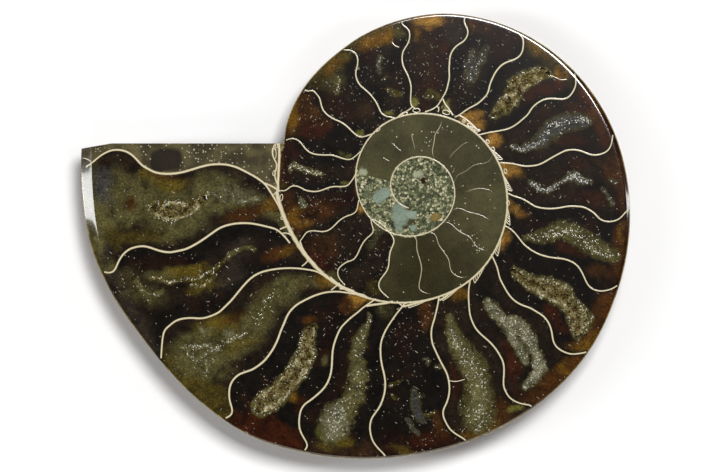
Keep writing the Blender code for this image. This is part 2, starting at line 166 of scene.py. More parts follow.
# Chamber walls read from foot to rim: width in mm, then points in pixels of the photograph.
# The ones after the first 23 lie in mudstone.
SEPTUM_PIXELS = (
    (0.62, ((280, 208), (277, 203), (273, 196), (270, 191), (266, 185), (261, 181), (254, 176),
     (247, 172), (238, 168), (229, 165), (220, 164), (211, 164.5), (202, 166.5), (192, 169.5),
     (182, 172), (172, 173.5), (163, 173.5), (155, 172), (148, 169), (142, 165), (136, 159),
     (131, 154), (124, 150.5), (116, 149.5), (108, 151), (100, 155), (92, 162), (86, 167))),
    (0.58, ((290, 243), (284, 236), (279, 231), (275, 228.5), (268, 227), (260, 225), (252, 223.5),
     (244, 223), (236, 223.5), (228, 225), (220, 228), (213, 232.5), (206, 237.5), (199, 242),
     (192, 246), (185, 249.5), (178, 251), (171, 252), (164, 251.5), (157, 250), (150, 247.5),
     (143, 246), (136, 247), (130, 249), (124, 253), (120, 259), (117, 265), (114, 271), (110, 273),
     (104, 272))),
    (0.55, ((328, 278), (318, 272), (310, 270), (300, 268.5), (290, 268), (280, 268.3), (270, 270),
     (262, 272), (255, 275), (249, 280), (243, 286), (238, 292), (232, 299.5), (226, 306),
     (219, 312), (211, 316), (202, 318.5), (191, 318), (181, 319), (175, 321), (170, 325),
     (165, 330), (163, 336), (162, 344), (161.5, 351), (161, 358))),
    (0.55, ((356, 294.5), (346, 292.5), (336, 291.5), (325, 292.5), (314, 296), (305, 300),
     (297, 304.5), (291, 310), (287, 316), (284, 323), (281, 331), (278, 339), (274, 347),
     (270, 354), (265, 360), (259, 365.5), (252, 369.5), (245, 372), (238, 375), (233, 380),
     (230, 386), (229, 393), (229.5, 400), (231, 405), (232.5, 411), (231, 415), (226, 418))),
    (0.52, ((374, 300), (369, 303.5), (363, 308), (358, 312), (352, 317), (346, 322), (341, 328),
     (337, 336), (334, 344), (332.5, 352), (332, 360), (331.5, 368), (330, 376), (327, 384),
     (322, 390), (317, 395), (311, 400), (305, 404), (301, 410), (299.5, 416), (299, 423),
     (300, 430), (303, 436), (306, 441), (307.5, 446), (305, 450))),
    (0.5, ((406, 302), (402, 307), (398, 312), (393, 319), (388, 326), (384, 334), (381, 343),
     (380.5, 351), (381, 359), (382.5, 367), (384.5, 375), (385.5, 383), (385, 391), (383, 399),
     (380, 406), (376, 412), (372, 418), (370, 425), (370.5, 433), (373, 441), (378, 448),
     (383, 453), (388, 459))),
    (0.5, ((439, 297), (438, 304), (436, 312), (434, 320), (432, 328), (431.5, 336), (433, 344),
     (436, 352), (440, 360), (444, 367), (447, 374), (449, 382), (449.5, 390), (448.5, 397),
     (446, 404), (443.5, 410), (443.5, 416), (446, 423), (450, 429), (456, 434), (463, 438),
     (469, 443))),
    (0.47, ((470, 281), (468.5, 290), (468.5, 299), (469, 307), (470, 315), (473, 323), (477, 330),
     (483, 336), (490, 342), (496, 349), (500, 355), (503, 362), (504, 370), (503.5, 378),
     (503.5, 386), (506, 392), (510, 398), (517, 402), (524, 404), (530, 405), (534, 408))),
    (0.45, ((491, 254), (493, 258), (496, 264), (498, 270), (500, 278), (503, 285), (506, 290),
     (510, 296), (515, 301), (522, 305), (530, 308), (536, 311), (542, 315), (547, 320), (550, 326),
     (552, 333), (553, 340), (556, 346), (562, 351), (570, 354), (577, 354), (585, 352.5),
     (592, 350))),
    (0.42, ((504, 225.5), (509, 228), (514, 232), (519, 238), (524, 244), (531, 250), (539, 254),
     (547, 256.5), (556, 258), (564, 259), (572, 262), (578, 266), (582, 272), (585, 279),
     (588, 285), (593, 289), (600, 291), (608, 290), (615, 287), (622, 282))),
    (0.42, ((508, 193.5), (514, 196), (521, 198), (528, 202), (535, 206), (543, 208), (551, 208.5),
     (560, 207.5), (568, 206), (576, 206), (584, 207), (590, 210), (595, 214), (600, 219),
     (607, 221.5), (614, 221), (620, 218), (625, 213), (630, 208))),
    (0.42, ((500, 162.5), (508, 163), (515, 164), (523, 166), (531, 166), (539, 164.5), (546, 161),
     (553, 157), (560, 153), (567, 150), (575, 149.5), (583, 151.5), (590, 154.5), (597, 155),
     (604, 153), (609, 149), (612, 142), (613, 135))),
    (0.42, ((479, 134.8), (487, 133), (495, 131.5), (503, 130), (510, 128), (517, 124), (523, 119),
     (528, 114), (532, 108), (537, 103), (543, 100), (550, 98.5), (558, 99), (565, 99), (570, 96),
     (574, 90), (576, 83), (575, 75), (572, 67))),
    (0.42, ((455, 117), (459, 115), (465, 111), (471, 107), (477, 104), (483, 99), (488, 93),
     (490, 85), (493, 77), (497, 70), (503, 64), (510, 61), (517, 58), (522, 53), (523.5, 45),
     (523, 38), (517, 32))),
    (0.4, ((425, 112), (431, 110), (436, 107), (440, 102), (443, 97), (446, 91), (448, 84),
     (449.5, 77), (449, 70), (449.5, 63), (450, 56), (453, 50), (457, 45), (463, 42), (467, 37),
     (468, 31), (466, 26), (464, 20), (466, 15.5))),
    (0.38, ((416, 109), (412, 107), (410.5, 103), (410.5, 96), (411, 88), (410, 80), (407, 73),
     (403.5, 67), (402, 60), (402.5, 53), (405, 48), (408.5, 43), (410, 37), (409.5, 31), (406, 27),
     (402, 24), (401, 19.5))),
    (0.38, ((396, 119), (392, 117), (386, 116), (381, 113), (379, 108), (376, 102), (372, 96),
     (367, 91), (361, 86), (357, 80), (355.5, 73), (357, 67), (358, 61), (356.5, 55), (353, 51),
     (348, 50), (342, 49.5))),
    (0.38, ((375, 133), (368, 135.5), (361, 137), (356, 135), (352, 131), (347, 126), (341, 122),
     (334, 119), (328, 115), (323, 110), (321, 104), (319.5, 98), (316, 93), (312, 90), (307, 91.5),
     (304, 89))),
    (0.36, ((361, 151), (355, 156.5), (350, 159.5), (344, 159), (338, 157), (332, 155), (325, 155),
     (317, 154.5), (311, 153), (306, 149), (302, 144), (298, 140), (292, 138), (286, 140))),
    (0.36, ((357.5, 170), (354, 177), (351, 182), (347, 186), (340, 186.5), (332, 186.5),
     (325, 189), (318, 191.5), (311, 191.5), (305, 190), (300, 187), (295, 185.5), (290, 186.5),
     (287, 190), (284, 191), (279, 190.5))),
    (0.34, ((359, 200), (358, 204), (357, 210), (353, 214), (346, 216.5), (340, 220), (335, 225),
     (329, 230), (322, 231.5), (314, 230.5), (307, 231.5), (304, 236), (300, 241))),
    (0.34, ((371, 219), (372, 225), (374, 230), (372, 234), (367, 238), (363, 243), (360, 249),
     (357, 255), (353, 260), (347, 262), (341, 266), (338, 270), (338, 275), (340, 279),
     (345, 285.5))),
    (0.36, ((373, 219), (382, 224), (387, 229), (391, 234), (394.5, 240), (393, 245), (390, 252),
     (389, 260), (388, 268), (385, 274), (380, 280), (378.5, 286), (382, 292), (388.5, 297.5))),
    (0.26, ((409.5, 233), (416.5, 239), (417, 250), (421.6, 268), (419, 287), (423, 292),
     (430.5, 294))),
    (0.22, ((427, 232), (435, 234), (439, 245), (448.5, 259), (451, 271), (459, 277),
     (467.5, 276.5))),
    (0.2, ((442, 222), (450, 223), (458.6, 231), (470, 237.5), (475, 245), (481.6, 250),
     (488, 250))),
    (0.18, ((451, 210), (460, 208), (467, 211.5), (480, 214.6), (490.5, 220))),
    (0.18, ((466, 191.6), (475, 189), (483, 188.5), (492, 191))),
    (0.18, ((455.5, 181), (457, 175), (466, 171), (474, 165), (488, 162), (492.5, 155))),
    (0.2, ((449.7, 158.5), (453, 153), (458.6, 148), (463, 144), (469, 142))),
    (0.24, ((433.8, 157), (432.5, 151), (434, 142), (435, 134), (439.5, 128), (442, 121.5))),
    (0.2, ((411, 134), (413, 141), (415, 149))),
    (0.18, ((392, 142.5), (396, 147), (401, 151))),
    (0.18, ((383.4, 157), (386, 159.5), (389.7, 161))),
)

# Strands of the wall between the whorls and other thin lines of shell: width in mm, then
# points in pixels
STRAND_PIXELS = (
    (0.55, ((279, 143.5), (279.5, 155), (279, 165), (278.5, 175), (278, 184), (278.7, 192))),
    (0.32, ((275, 143.5), (272.5, 150), (273, 157), (276, 162), (277, 166), (275, 172), (275, 178),
     (277.5, 184))),
    (0.4, ((263, 182.5), (270, 185), (275, 188), (279, 191))),
    (0.26, ((273, 195), (277, 191), (279, 187))),
    (0.34, ((280, 229), (284, 227.5), (289, 226))),
    (0.28, ((283, 233), (288, 233), (292, 236))),
    (0.3, ((302, 266), (306, 263), (309, 259))),
    (0.4, ((300, 241), (302, 247), (305, 252), (310, 259), (316, 265))),
    (0.3, ((331, 290), (336, 286), (340, 283))),
    (0.4, ((330, 277), (337, 283), (345, 287.5), (354, 291))),
    (0.45, ((340, 288), (350, 290), (358, 294), (364, 295), (368, 298), (376, 299.5))),
    (0.5, ((366, 306), (372, 305), (379, 304), (386, 303), (393, 301.5))),
    (0.3, ((397, 301), (401, 305), (404, 307))),
    (0.45, ((403, 306.5), (410, 305), (418, 302.5), (427, 300), (434, 298))),
    (0.3, ((402, 302), (405, 304), (409, 302))),
    (0.42, ((439.5, 300), (444, 298), (449, 294), (454, 291))),
    (0.3, ((443, 99), (445, 104), (449, 109), (453, 115))),
    (0.26, ((437, 106), (440, 109), (438, 112))),
    (0.28, ((412, 107), (409, 110), (404, 113), (399, 116))),
    (0.26, ((397, 118), (402, 113), (405, 112))),
    (0.26, ((376, 132), (379, 127), (384, 124))),
    (0.24, ((82.5, 156), (87, 157), (91, 161))),
    (0.3, ((459, 115), (466, 119), (473, 125), (479, 131))),
    (0.16, ((392, 41.5), (394, 45), (399, 47))),
    (0.14, ((550, 75.5), (555, 77), (560, 79.5), (567, 79))),
    (0.16, ((449, 380.5), (456, 381.5), (465, 379))),
)

# Oval cells on that wall: x, y, half length and half width in pixels, turn in degrees
CELL_PIXELS = (
    (416.5, 110.5, 3.6, 2, 0), (446, 112.5, 3.6, 2.1, -15), (464, 120.8, 1.7, 1.2, -30),
    (469, 124.6, 2, 1.3, -35), (473.5, 128.2, 2.6, 1.5, -38), (488, 141.5, 2, 1.3, -50),
    (493, 149, 2.2, 1.4, -58), (281.5, 197.5, 3.4, 1.4, 80), (274, 153, 5.6, 2, 96),
    (276.5, 146, 2, 1.2, 90), (274.2, 173, 2.6, 1.3, 80), (283, 217, 2.4, 1.6, 60),
    (505.5, 171, 2.4, 1.4, -75), (508, 203, 2.6, 1.5, 90), (378, 129.5, 2.2, 1.2, 40),
    (405, 113.5, 2.6, 1.4, 15),
)
FILLED_CHAMBERS = 23             # chambers of calcite; further in the whorl is mudstone
WALL_START = 541.0
CORE_START = 884.0               # from here inwards the whorl holds granular matrix

# Open pockets: points on the middle line as x, y and half width in mm, from the photograph's
# middle. The shift takes them into the stone's frame
POCKETS = {
    "left": ((-42.5, 5.7, 0.95), (-40.4, 5.2, 1.8), (-38.1, 5.4, 2.1), (-35.8, 5.6, 1.55),
             (-33.9, 6.4, 1.15), (-32.0, 7.9, 0.9)),
    "bottom": ((-8.9, -18.7, 0.6), (-10.0, -20.6, 1.2), (-10.3, -22.6, 1.4), (-10.7, -25.1, 1.85),
               (-12.3, -27.9, 1.9), (-14.6, -30.8, 1.8), (-16.9, -33.2, 2.1), (-19.5, -35.0, 2.0),
               (-20.5, -36.1, 1.2)),
    "right": ((32.7, -7.0, 0.7), (34.7, -8.6, 1.15), (37.0, -9.9, 1.55), (39.9, -10.9, 2.0),
              (42.7, -12.2, 2.15), (44.7, -14.5, 1.6), (46.4, -16.7, 2.1), (46.2, -18.9, 1.5),
              (46.0, -20.6, 0.9)),
    "top": ((39.8, 34.1, 0.9), (37.9, 33.8, 1.4), (35.9, 33.0, 1.6), (33.9, 31.7, 1.75),
            (32.8, 29.7, 1.6), (31.6, 27.9, 1.5), (30.1, 26.5, 1.3), (28.7, 25.4, 0.7)),
}
POCKET_SHIFT = np.array((0.194, -0.069))


def linear(hex_colour):
    """Linear colour from an sRGB hex value."""
    channels = [int(hex_colour[i:i + 2], 16) / 255 for i in (0, 2, 4)]
    return tuple(c / 12.92 if c <= 0.04045 else ((c + 0.055) / 1.055) ** 2.4 for c in channels)


# Minerals of the polished face, as they look in it
MINERALS = {
    "ink": "0F0B07", "bark": "1C140C", "umber": "2C1C0E", "rust": "220F06", "russet": "301305",
    "ember": "3C2208", "amber": "5C400C", "gold": "8A6426", "honey": "3E3410", "lime": "6C6A2C",
    "olive": "4A4526", "moss": "504312", "sage": "524D2E", "mist": "5E5C44", "slate": "3C3B37",
    "frost_dark": "3A3A39", "plum": "2A241D", "mud_low": "2A2614", "mud": "3B3823",
    "mud_light": "48452B", "core_green": "5A6248", "core_pale": "7A8878", "core_white": "96997C",
    "core_tan": "7E6A3A", "shell": "8C7C4E", "matrix": "5C5438",
}

# Fill of each chamber, counted from the saw cut: middle, beside the walls, towards the rim
FILLS = (
    ("plum", "plum", "plum"), ("olive", "bark", "olive"), ("bark", "ink", "plum"),
    ("olive", "bark", "honey"), ("ink", "ink", "russet"), ("ink", "ink", "umber"),
    ("ink", "ink", "rust"), ("bark", "bark", "umber"), ("ink", "bark", "ember"),
    ("ink", "ink", "ember"), ("ink", "ink", "rust"), ("bark", "bark", "rust"),
    ("bark", "bark", "russet"), ("bark", "ink", "honey"), ("bark", "ink", "rust"),
    ("rust", "bark", "umber"), ("bark", "ink", "honey"), ("bark", "ink", "honey"),
    ("ink", "ink", "ember"), ("bark", "ink", "rust"), ("rust", "bark", "ember"),
    ("bark", "bark", "rust"), ("bark", "ink", "bark"), ("mud", "mud", "mud"),
)

# Seams of crystal in the middle of a chamber: mineral, share of bright crystals (pale crystals
# with painted glints), then points in pixels with the half width there in mm
SEAM_PIXELS = (
    ("sage", 0.9, ((150, 205, 0.4), (153, 213, 0.6), (160, 218, 0.6), (170, 221, 0.6),
     (178, 218, 0.6), (188, 212, 0.6), (198, 205, 0.6), (204, 197, 0.5), (208, 193, 0.5))),
    ("moss", 0.5, ((152, 203, 0.4), (160, 202, 0.4), (168, 203, 0.4), (175, 201, 0.4),
     (184, 203, 0.4), (193, 202, 0.4))),
    ("mist", 0.5, ((213, 194, 0.4), (220, 197, 0.3))),
    ("mist", 0.35, ((226, 190, 0.4), (230, 189, 0.5), (233, 195, 0.35), (235, 203, 0.25))),
    ("mist", 0.2, ((240, 203, 0.4), (249, 201, 0.4), (258, 198, 0.4))),
    ("sage", 0.12, ((148, 211, 0.5), (141, 217, 0.6), (134, 217, 0.6), (128, 225, 0.5))),
    ("sage", 0.4, ((170, 221, 0.5), (171, 227, 0.35), (174, 222, 0.3))),
    ("moss", 0.9, ((151, 278, 0.3), (156, 276, 0.4), (162, 280, 0.35), (168, 283, 0.4),
     (175, 281, 0.35), (182, 279, 0.3), (190, 279, 0.4), (198, 278, 0.45), (207, 274, 0.45),
     (215, 269, 0.4), (222, 262, 0.35))),
    ("moss", 0.7, ((192, 285, 0.4), (198, 288, 0.6), (205, 284, 0.5), (211, 280, 0.4),
     (216, 274, 0.3))),
    ("olive", 0.35, ((226, 259, 0.3), (236, 251, 0.4), (245, 248, 0.35), (254, 250, 0.3))),
    ("olive", 0.3, ((136, 281, 0.5), (141, 288, 0.6), (147, 295, 0.6), (150, 302, 0.4))),
    ("olive", 0.3, ((150, 296, 0.5), (157, 296, 0.6), (163, 290, 0.4))),
    ("sage", 0.8, ((180, 348, 0.5), (189, 345, 0.6), (197, 348, 0.6), (206, 344, 0.6),
     (215, 348, 0.5), (224, 343, 0.5), (233, 338, 0.5), (241, 336, 0.5), (248, 333, 0.3))),
    ("sage", 0.7, ((188, 352, 0.5), (193, 360, 0.7), (199, 361, 0.6), (206, 352, 0.5),
     (213, 351, 0.4), (222, 348, 0.3))),
    ("sage", 0.6, ((203, 356, 0.4), (209, 365, 0.6), (206, 372, 0.4))),
    ("olive", 0.25, ((255, 326, 0.6), (262, 312, 1), (268, 300, 1), (277, 291, 0.8))),
    ("sage", 0.22, ((366, 325, 0.6), (361, 338, 1.2), (357, 352, 1.3), (358, 368, 1.6),
     (358, 382, 1.8), (354, 395, 1.9), (350, 406, 1.8), (344, 414, 1.8))),
    ("mist", 0.45, ((341, 409, 1.8), (336, 420, 3.2), (333, 431, 2.2))),
    ("mist", 0.95, ((343, 408, 0.5), (336, 418, 0.8), (329, 423, 0.6))),
    ("sage", 0.7, ((367, 328, 0.5), (371, 319, 0.4), (369, 313, 0.3))),
    ("frost_dark", 0, ((414, 390, 0.5), (416, 404, 0.9), (418, 415, 0.9), (423, 422, 0.5))),
    ("frost_dark", 0, ((408, 419, 0.4), (413, 428, 0.5), (418, 435, 0.3))),
    ("slate", 1, ((424, 359, 0.25), (428, 356, 0.3), (431, 362, 0.3), (428, 364, 0.2))),
    ("slate", 0.9, ((436, 366, 0.3), (442, 366, 0.25))),
    ("slate", 0.9, ((418, 397, 0.2), (423, 395, 0.3))),
    ("honey", 0.5, ((424, 415, 0.25), (429, 417, 0.3), (433, 413, 0.25), (437, 411, 0.2))),
    ("honey", 0.5, ((389, 386, 0.25), (396, 383, 0.25), (402, 380, 0.2))),
    ("honey", 0.5, ((391, 394, 0.2), (397, 399, 0.25))),
    ("sage", 0.3, ((449, 316, 0.6), (452, 328, 1), (457, 343, 1.6), (466, 356, 2.2),
     (474, 368, 2.4), (478, 382, 2.4), (479, 397, 2.5), (478, 411, 3.2), (479, 421, 2.6))),
    ("mist", 0.6, ((451, 330, 0.4), (455, 342, 0.5), (463, 352, 0.5))),
    ("mist", 0.5, ((487, 302, 0.8), (492, 308, 1.2), (500, 317, 1.1), (508, 328, 1.1),
     (515, 342, 1.1), (521, 352, 0.9), (526, 362, 0.6))),
    ("mist", 0.6, ((505, 320, 0.8), (518, 324, 1.3), (527, 334, 1.4), (532, 347, 1.2),
     (538, 358, 1.1), (540, 369, 1.3), (533, 379, 1.1), (526, 386, 0.8))),
    ("mist", 1, ((525, 331, 0.4), (530, 342, 0.5), (534, 350, 0.4))),
    ("mist", 1, ((534, 368, 0.4), (541, 370, 0.5), (546, 366, 0.3))),
    ("sage", 0.5, ((592, 316, 0.5), (588, 324, 0.6), (581, 335, 0.5))),
    ("olive", 0.35, ((525, 238, 0.6), (545, 236, 1.3), (558, 230, 1.6), (570, 231, 1.8),
     (585, 241, 1.8), (600, 250, 1.7), (614, 256, 1.2))),
    ("sage", 0.9, ((541, 237, 0.4), (549, 238, 0.4), (556, 235, 0.6), (567, 231, 0.9),
     (575, 234, 0.9), (584, 243, 0.7), (592, 250, 0.7), (601, 254, 0.9), (613, 256, 0.7))),
    ("slate", 0.95, ((531, 182, 0.4), (537, 187, 0.8), (544, 192, 0.5), (551, 189, 0.5),
     (558, 184, 0.4), (566, 180, 0.6), (573, 175, 1), (579, 180, 0.9), (588, 182, 0.5),
     (594, 182, 0.2))),
    ("slate", 0.8, ((610, 180, 0.3), (616, 181, 0.4))),
    ("slate", 0.6, ((603, 189, 0.3), (608, 195, 0.4), (612, 204, 0.5))),
    ("slate", 0.25, ((524, 148, 0.8), (538, 143, 1.2), (549, 132, 1.7), (562, 124, 1.8),
     (578, 121, 1.5), (588, 123, 0.8))),
    ("slate", 1, ((514, 147, 0.5), (523, 150, 0.6), (531, 148, 0.6), (540, 142, 0.6),
     (547, 136, 0.7), (549, 128, 0.7), (554, 123, 0.7), (563, 124, 0.6), (572, 122, 0.7),
     (581, 119, 0.7), (589, 123, 0.6))),
    ("slate", 0.2, ((487, 46, 0.5), (482, 56, 0.9), (476, 65, 1.2), (470, 76, 1.2))),
    ("frost_dark", 0.1, ((467, 66, 0.6), (472, 58, 0.5), (474, 50, 0.4))),
    ("olive", 0.6, ((338, 78, 0.4), (340, 86, 0.5), (337, 92, 0.4))),
    ("honey", 0.5, ((388, 90, 0.5), (395, 93, 0.6), (401, 95, 0.5))),
    ("honey", 0.35, ((431, 94, 0.9), (438, 97, 0.6))),
    ("slate", 0.5, ((379, 57, 0.4), (379, 64, 0.3), (379, 72, 0.4))),
    ("sage", 1, ((290, 171, 0.3), (292, 162, 0.6), (297, 167, 0.6), (302, 167, 0.5),
     (309, 171, 0.6), (316, 171, 0.6), (322, 174, 0.4))),
    ("mist", 0.7, ((304, 205, 0.7), (301, 198, 0.4))),
    ("slate", 0.5, ((384, 79, 0.3), (387, 77, 0.35))),
)

# Glows in the fill: x, y, reach along and across in pixels, turn in degrees, mineral, strength
GLOW_PIXELS = (
    # The first one, slate beside the worn left edge, is partly grey calcite and partly a painted
    # sheen, a reflection beside that edge.
    (104, 184, 13, 24, 0, "slate", 0.95), (120, 198, 14, 36, 0, "olive", 0.85),
    (150, 192, 32, 20, 0, "olive", 0.8), (170, 184, 22, 10, 0, "moss", 0.9),
    (148, 177, 10, 8, 0, "moss", 0.8), (130, 202, 8, 7, 0, "ember", 0.9),
    (178, 229, 38, 12, 8, "olive", 0.85), (215, 187, 30, 18, 0, "olive", 0.75),
    (230, 192, 14, 13, 0, "mist", 0.4), (247, 194, 12, 10, 0, "mist", 0.35),
    (140, 236, 34, 8, 8, "honey", 0.85), (112, 238, 11, 15, 0, "honey", 0.7),
    (107, 256, 7, 15, 0, "plum", 0.85), (248, 213, 32, 9, 16, "ember", 0.95),
    (268, 206, 10, 8, 30, "amber", 0.6), (168, 176, 20, 4, 0, "ember", 0.6),
    (186, 272, 36, 8, 5, "moss", 1), (206, 285, 24, 8, 15, "moss", 0.75),
    (158, 276, 18, 9, 0, "olive", 0.7), (128, 284, 14, 20, 0, "olive", 0.35),
    (150, 297, 24, 14, -20, "olive", 0.4), (228, 276, 20, 14, 45, "plum", 0.7),
    (240, 250, 18, 12, 30, "plum", 0.6), (272, 255, 16, 8, 25, "ember", 0.9),
    (287, 252, 10, 8, 35, "amber", 0.6), (165, 262, 30, 6, 5, "rust", 0.6),
    (216, 327, 28, 12, 10, "moss", 0.75), (205, 347, 42, 18, 8, "olive", 0.9),
    (200, 366, 32, 18, 0, "olive", 0.8), (228, 334, 8, 5, 0, "mist", 0.7),
    (204, 331, 7, 5, 0, "mist", 0.6), (238, 345, 26, 10, 25, "moss", 0.6),
    (206, 389, 32, 10, -28, "honey", 0.95), (262, 320, 16, 30, -30, "olive", 0.55),
    (285, 296, 16, 14, 0, "olive", 0.5), (232, 319, 18, 5, 20, "ember", 0.7),
    (324, 281, 12, 8, -30, "amber", 0.85), (305, 284, 12, 8, 0, "umber", 0.5),
    (276, 427, 34, 11, -28, "russet", 1), (262, 412, 18, 16, 0, "russet", 0.75),
    (298, 437, 14, 10, -20, "russet", 0.9), (358.5, 299.2, 14, 10.5, 10, "gold", 1),
    (347, 305, 9, 10, 0, "ember", 0.95), (308, 320, 10, 4, 0, "ember", 0.95),
    (293, 395, 7, 7, 40, "amber", 0.9), (303, 404, 9, 12, 0, "russet", 0.8),
    (330, 345, 6, 12, 0, "russet", 0.4), (327, 359, 4, 8, 0, "olive", 0.7),
    (330, 432, 15, 12, 0, "lime", 0.8), (345, 441, 12, 7, 0, "moss", 0.7),
    (386, 311, 12, 9, 35, "olive", 0.6), (325, 446, 12, 5, -15, "honey", 0.7),
    (345, 372, 10, 30, 0, "rust", 0.35), (350, 450, 16, 5, -8, "umber", 0.8),
    (426, 316, 8, 24, 5, "ember", 0.9), (429.4, 298.7, 10, 10.5, 0, "gold", 1),
    (440, 424, 9, 13, 30, "ember", 0.85), (424, 438, 24, 8, 8, "russet", 0.7),
    (393, 440, 16, 9, -8, "rust", 0.7), (400, 450, 12, 4, 0, "moss", 0.6),
    (392, 387, 12, 20, 0, "rust", 0.5), (455, 384, 8, 28, 0, "russet", 0.6),
    (458, 297, 13, 7, 0, "amber", 0.8), (484, 428, 26, 8, 24, "amber", 0.8),
    (502, 409, 14, 14, 30, "ember", 0.95), (466, 437, 9, 5, -20, "amber", 0.8),
    (511, 361, 9, 28, 12, "russet", 0.85), (552, 385, 26, 13, 42, "ember", 1),
    (567, 367, 13, 9, 42, "amber", 0.7), (520, 393, 18, 6, -8, "rust", 0.7),
    (516, 408, 10, 4, 12, "lime", 0.8), (575, 361, 15, 9, 45, "ember", 0.8),
    (602, 322, 16, 30, -20, "ember", 1), (580, 345, 20, 8, 15, "amber", 0.7),
    (608, 298, 10, 16, -15, "ember", 0.8), (552, 311, 12, 9, -40, "russet", 0.85),
    (561, 324, 8, 13, 15, "russet", 0.7), (483.5, 266.6, 12.5, 10.5, 40, "gold", 0.8),
    (594, 338, 10, 12, -35, "amber", 0.5), (619, 245, 9, 32, -3, "ember", 1),
    (572, 251, 22, 6, -18, "russet", 0.6), (500.3, 241.2, 11.5, 12, 0, "gold", 0.8),
    (600, 273, 16, 9, 0, "ember", 0.6), (621, 232, 5, 14, 0, "amber", 0.5),
    (512.8, 205.7, 16.3, 8, -18, "gold", 0.8), (592, 198, 26, 9, -8, "russet", 0.5),
    (614, 170, 12, 18, -8, "ember", 0.8), (622, 196, 5, 20, 0, "ember", 0.6),
    (585, 163, 20, 6, -5, "russet", 0.4), (508.5, 171.7, 15, 9.6, -12, "gold", 0.8),
    (494.1, 142, 11.5, 9.6, -25, "gold", 0.8), (552, 139, 15, 7, -8, "ember", 0.9),
    (572, 143, 16, 6, 0, "russet", 0.6), (598, 112, 10, 20, -35, "ember", 0.85),
    (604, 132, 8, 12, 0, "ember", 0.7), (575, 106, 16, 6, -15, "russet", 0.6),
    (592, 93, 12, 10, -45, "ember", 0.8), (562, 73, 11, 8, 30, "amber", 1),
    (545, 53, 20, 8, -28, "amber", 0.7), (525, 42, 10, 7, -25, "amber", 0.6),
    (548, 88, 20, 7, 10, "russet", 0.95), (530, 96, 12, 8, 40, "russet", 0.8),
    (583, 88, 7, 10, 0, "ember", 0.8), (473, 119.5, 10, 9.6, -30, "gold", 0.8),
    (475, 62, 11, 26, -12, "plum", 0.9), (500, 47, 13, 16, -20, "rust", 0.85),
    (488, 28, 16, 8, -10, "umber", 0.8), (470, 24, 7, 6, 0, "ember", 0.8),
    (468.2, 117.1, 11.5, 8, -30, "gold", 0.7), (430, 21, 18, 7, 5, "gold", 0.9),
    (416, 33, 7, 8, 0, "amber", 0.8), (425, 58, 13, 34, 0, "umber", 0.9),
    (445, 52, 7, 14, 0, "russet", 0.7), (446, 105, 5, 9, -10, "lime", 0.8),
    (453, 32, 13, 13, 0, "plum", 0.7), (376, 38, 24, 10, 22, "amber", 1),
    (363, 47, 10, 7, 35, "amber", 0.8), (392, 25, 9, 4, 15, "amber", 0.8),
    (400, 33, 8, 8, 0, "olive", 0.4), (366, 55, 8, 10, 0, "russet", 0.5),
    (413, 101, 3, 6, 0, "lime", 0.8), (334, 66, 17, 7, 42, "amber", 0.75),
    (346, 54, 8, 5, 35, "honey", 0.8), (331, 86, 10, 11, 0, "olive", 0.4),
    (340, 78, 9, 9, 0, "olive", 0.4), (390, 113, 7, 3, -12, "lime", 0.7),
    (335, 105, 22, 11, -25, "rust", 0.8), (366, 112, 11, 15, 0, "umber", 0.6),
    (294, 120, 7, 20, -12, "amber", 0.85), (306, 112, 10, 14, 0, "ember", 0.9),
    (321, 119, 13, 9, -30, "ember", 0.8), (312, 131, 15, 11, 0, "russet", 0.8),
    (366, 143, 10, 5, 38, "ember", 0.9), (357, 132, 7, 3, -10, "lime", 0.7),
    (282, 171, 5, 20, 0, "ember", 0.95), (283, 186, 5, 4, 0, "honey", 0.9),
    (300, 155, 16, 7, 0, "rust", 0.6), (345, 184, 6, 3, 8, "lime", 0.8),
    (346, 157, 7, 2.4, 0, "lime", 0.7), (296, 214, 9, 16, -28, "amber", 0.75),
    (307, 223, 14, 7, 0, "amber", 0.65), (320, 208, 20, 11, 0, "ember", 0.7),
    (358.5, 209.1, 4.8, 6.2, 0, "gold", 0.9), (325, 248, 18, 18, 0, "ember", 0.5),
    (318, 262, 13, 9, -30, "russet", 0.8), (331, 278, 8, 7, 0, "olive", 0.9),
    (372, 241, 11, 11, 0, "olive", 0.45), (380, 229, 9, 8, 0, "mud_light", 0.9),
    (375, 286, 9, 9, 0, "honey", 0.7),
)

# Clusters of pale grains in the mudstone: angle, share of the way out, reach in mm
GRAIN_CLUSTERS = ((679, 0.5, 2.9), (681, 0.25, 2.2), (675, 0.72, 2.0), (790, 0.62, 2.2),
                  (793, 0.38, 1.8), (783, 0.75, 1.4), (722, 0.12, 1.4), (744, 0.1, 1.2))

# Blocks in the granular matrix, from the spiral's middle: x, y, reach along, across, turn, mineral
PALE_BLOCKS = (
    (-7.2, -1.5, 2.3, 1.3, 37, "core_pale"), (-3.4, -6.2, 3.0, 1.35, -83, "core_pale"),
    (-1.0, -5.5, 1.1, 0.8, 0, "core_pale"), (-0.6, -8.3, 0.8, 0.65, 20, "core_pale"),
    (-11.0, 3.3, 1.0, 0.8, -20, "core_white"), (-10.4, -1.4, 0.85, 0.85, 0, "core_green"),
    (4.2, -6.0, 1.3, 0.9, 30, "core_tan"), (-2.3, -8.1, 0.6, 0.5, 40, "mud"),
    (-1.2, -7.2, 0.8, 0.45, 35, "mud"), (0.4, 2.9, 1.1, 0.7, 25, "core_white"),
    (1.6, 1.6, 0.5, 0.5, 0, "rust"), (-52.4, 5.8, 3.4, 2.3, 0, "plum"),
)


def from_photo(x, y, *more):
    """Place in mm from the spiral's middle, of a place in the photograph in pixels."""
    across = round((x - MIDDLE_PIXEL[0]) * PIXEL, 1)
    up = round((MIDDLE_PIXEL[1] - y) * PIXEL, 1)
    return (across, up, *more)


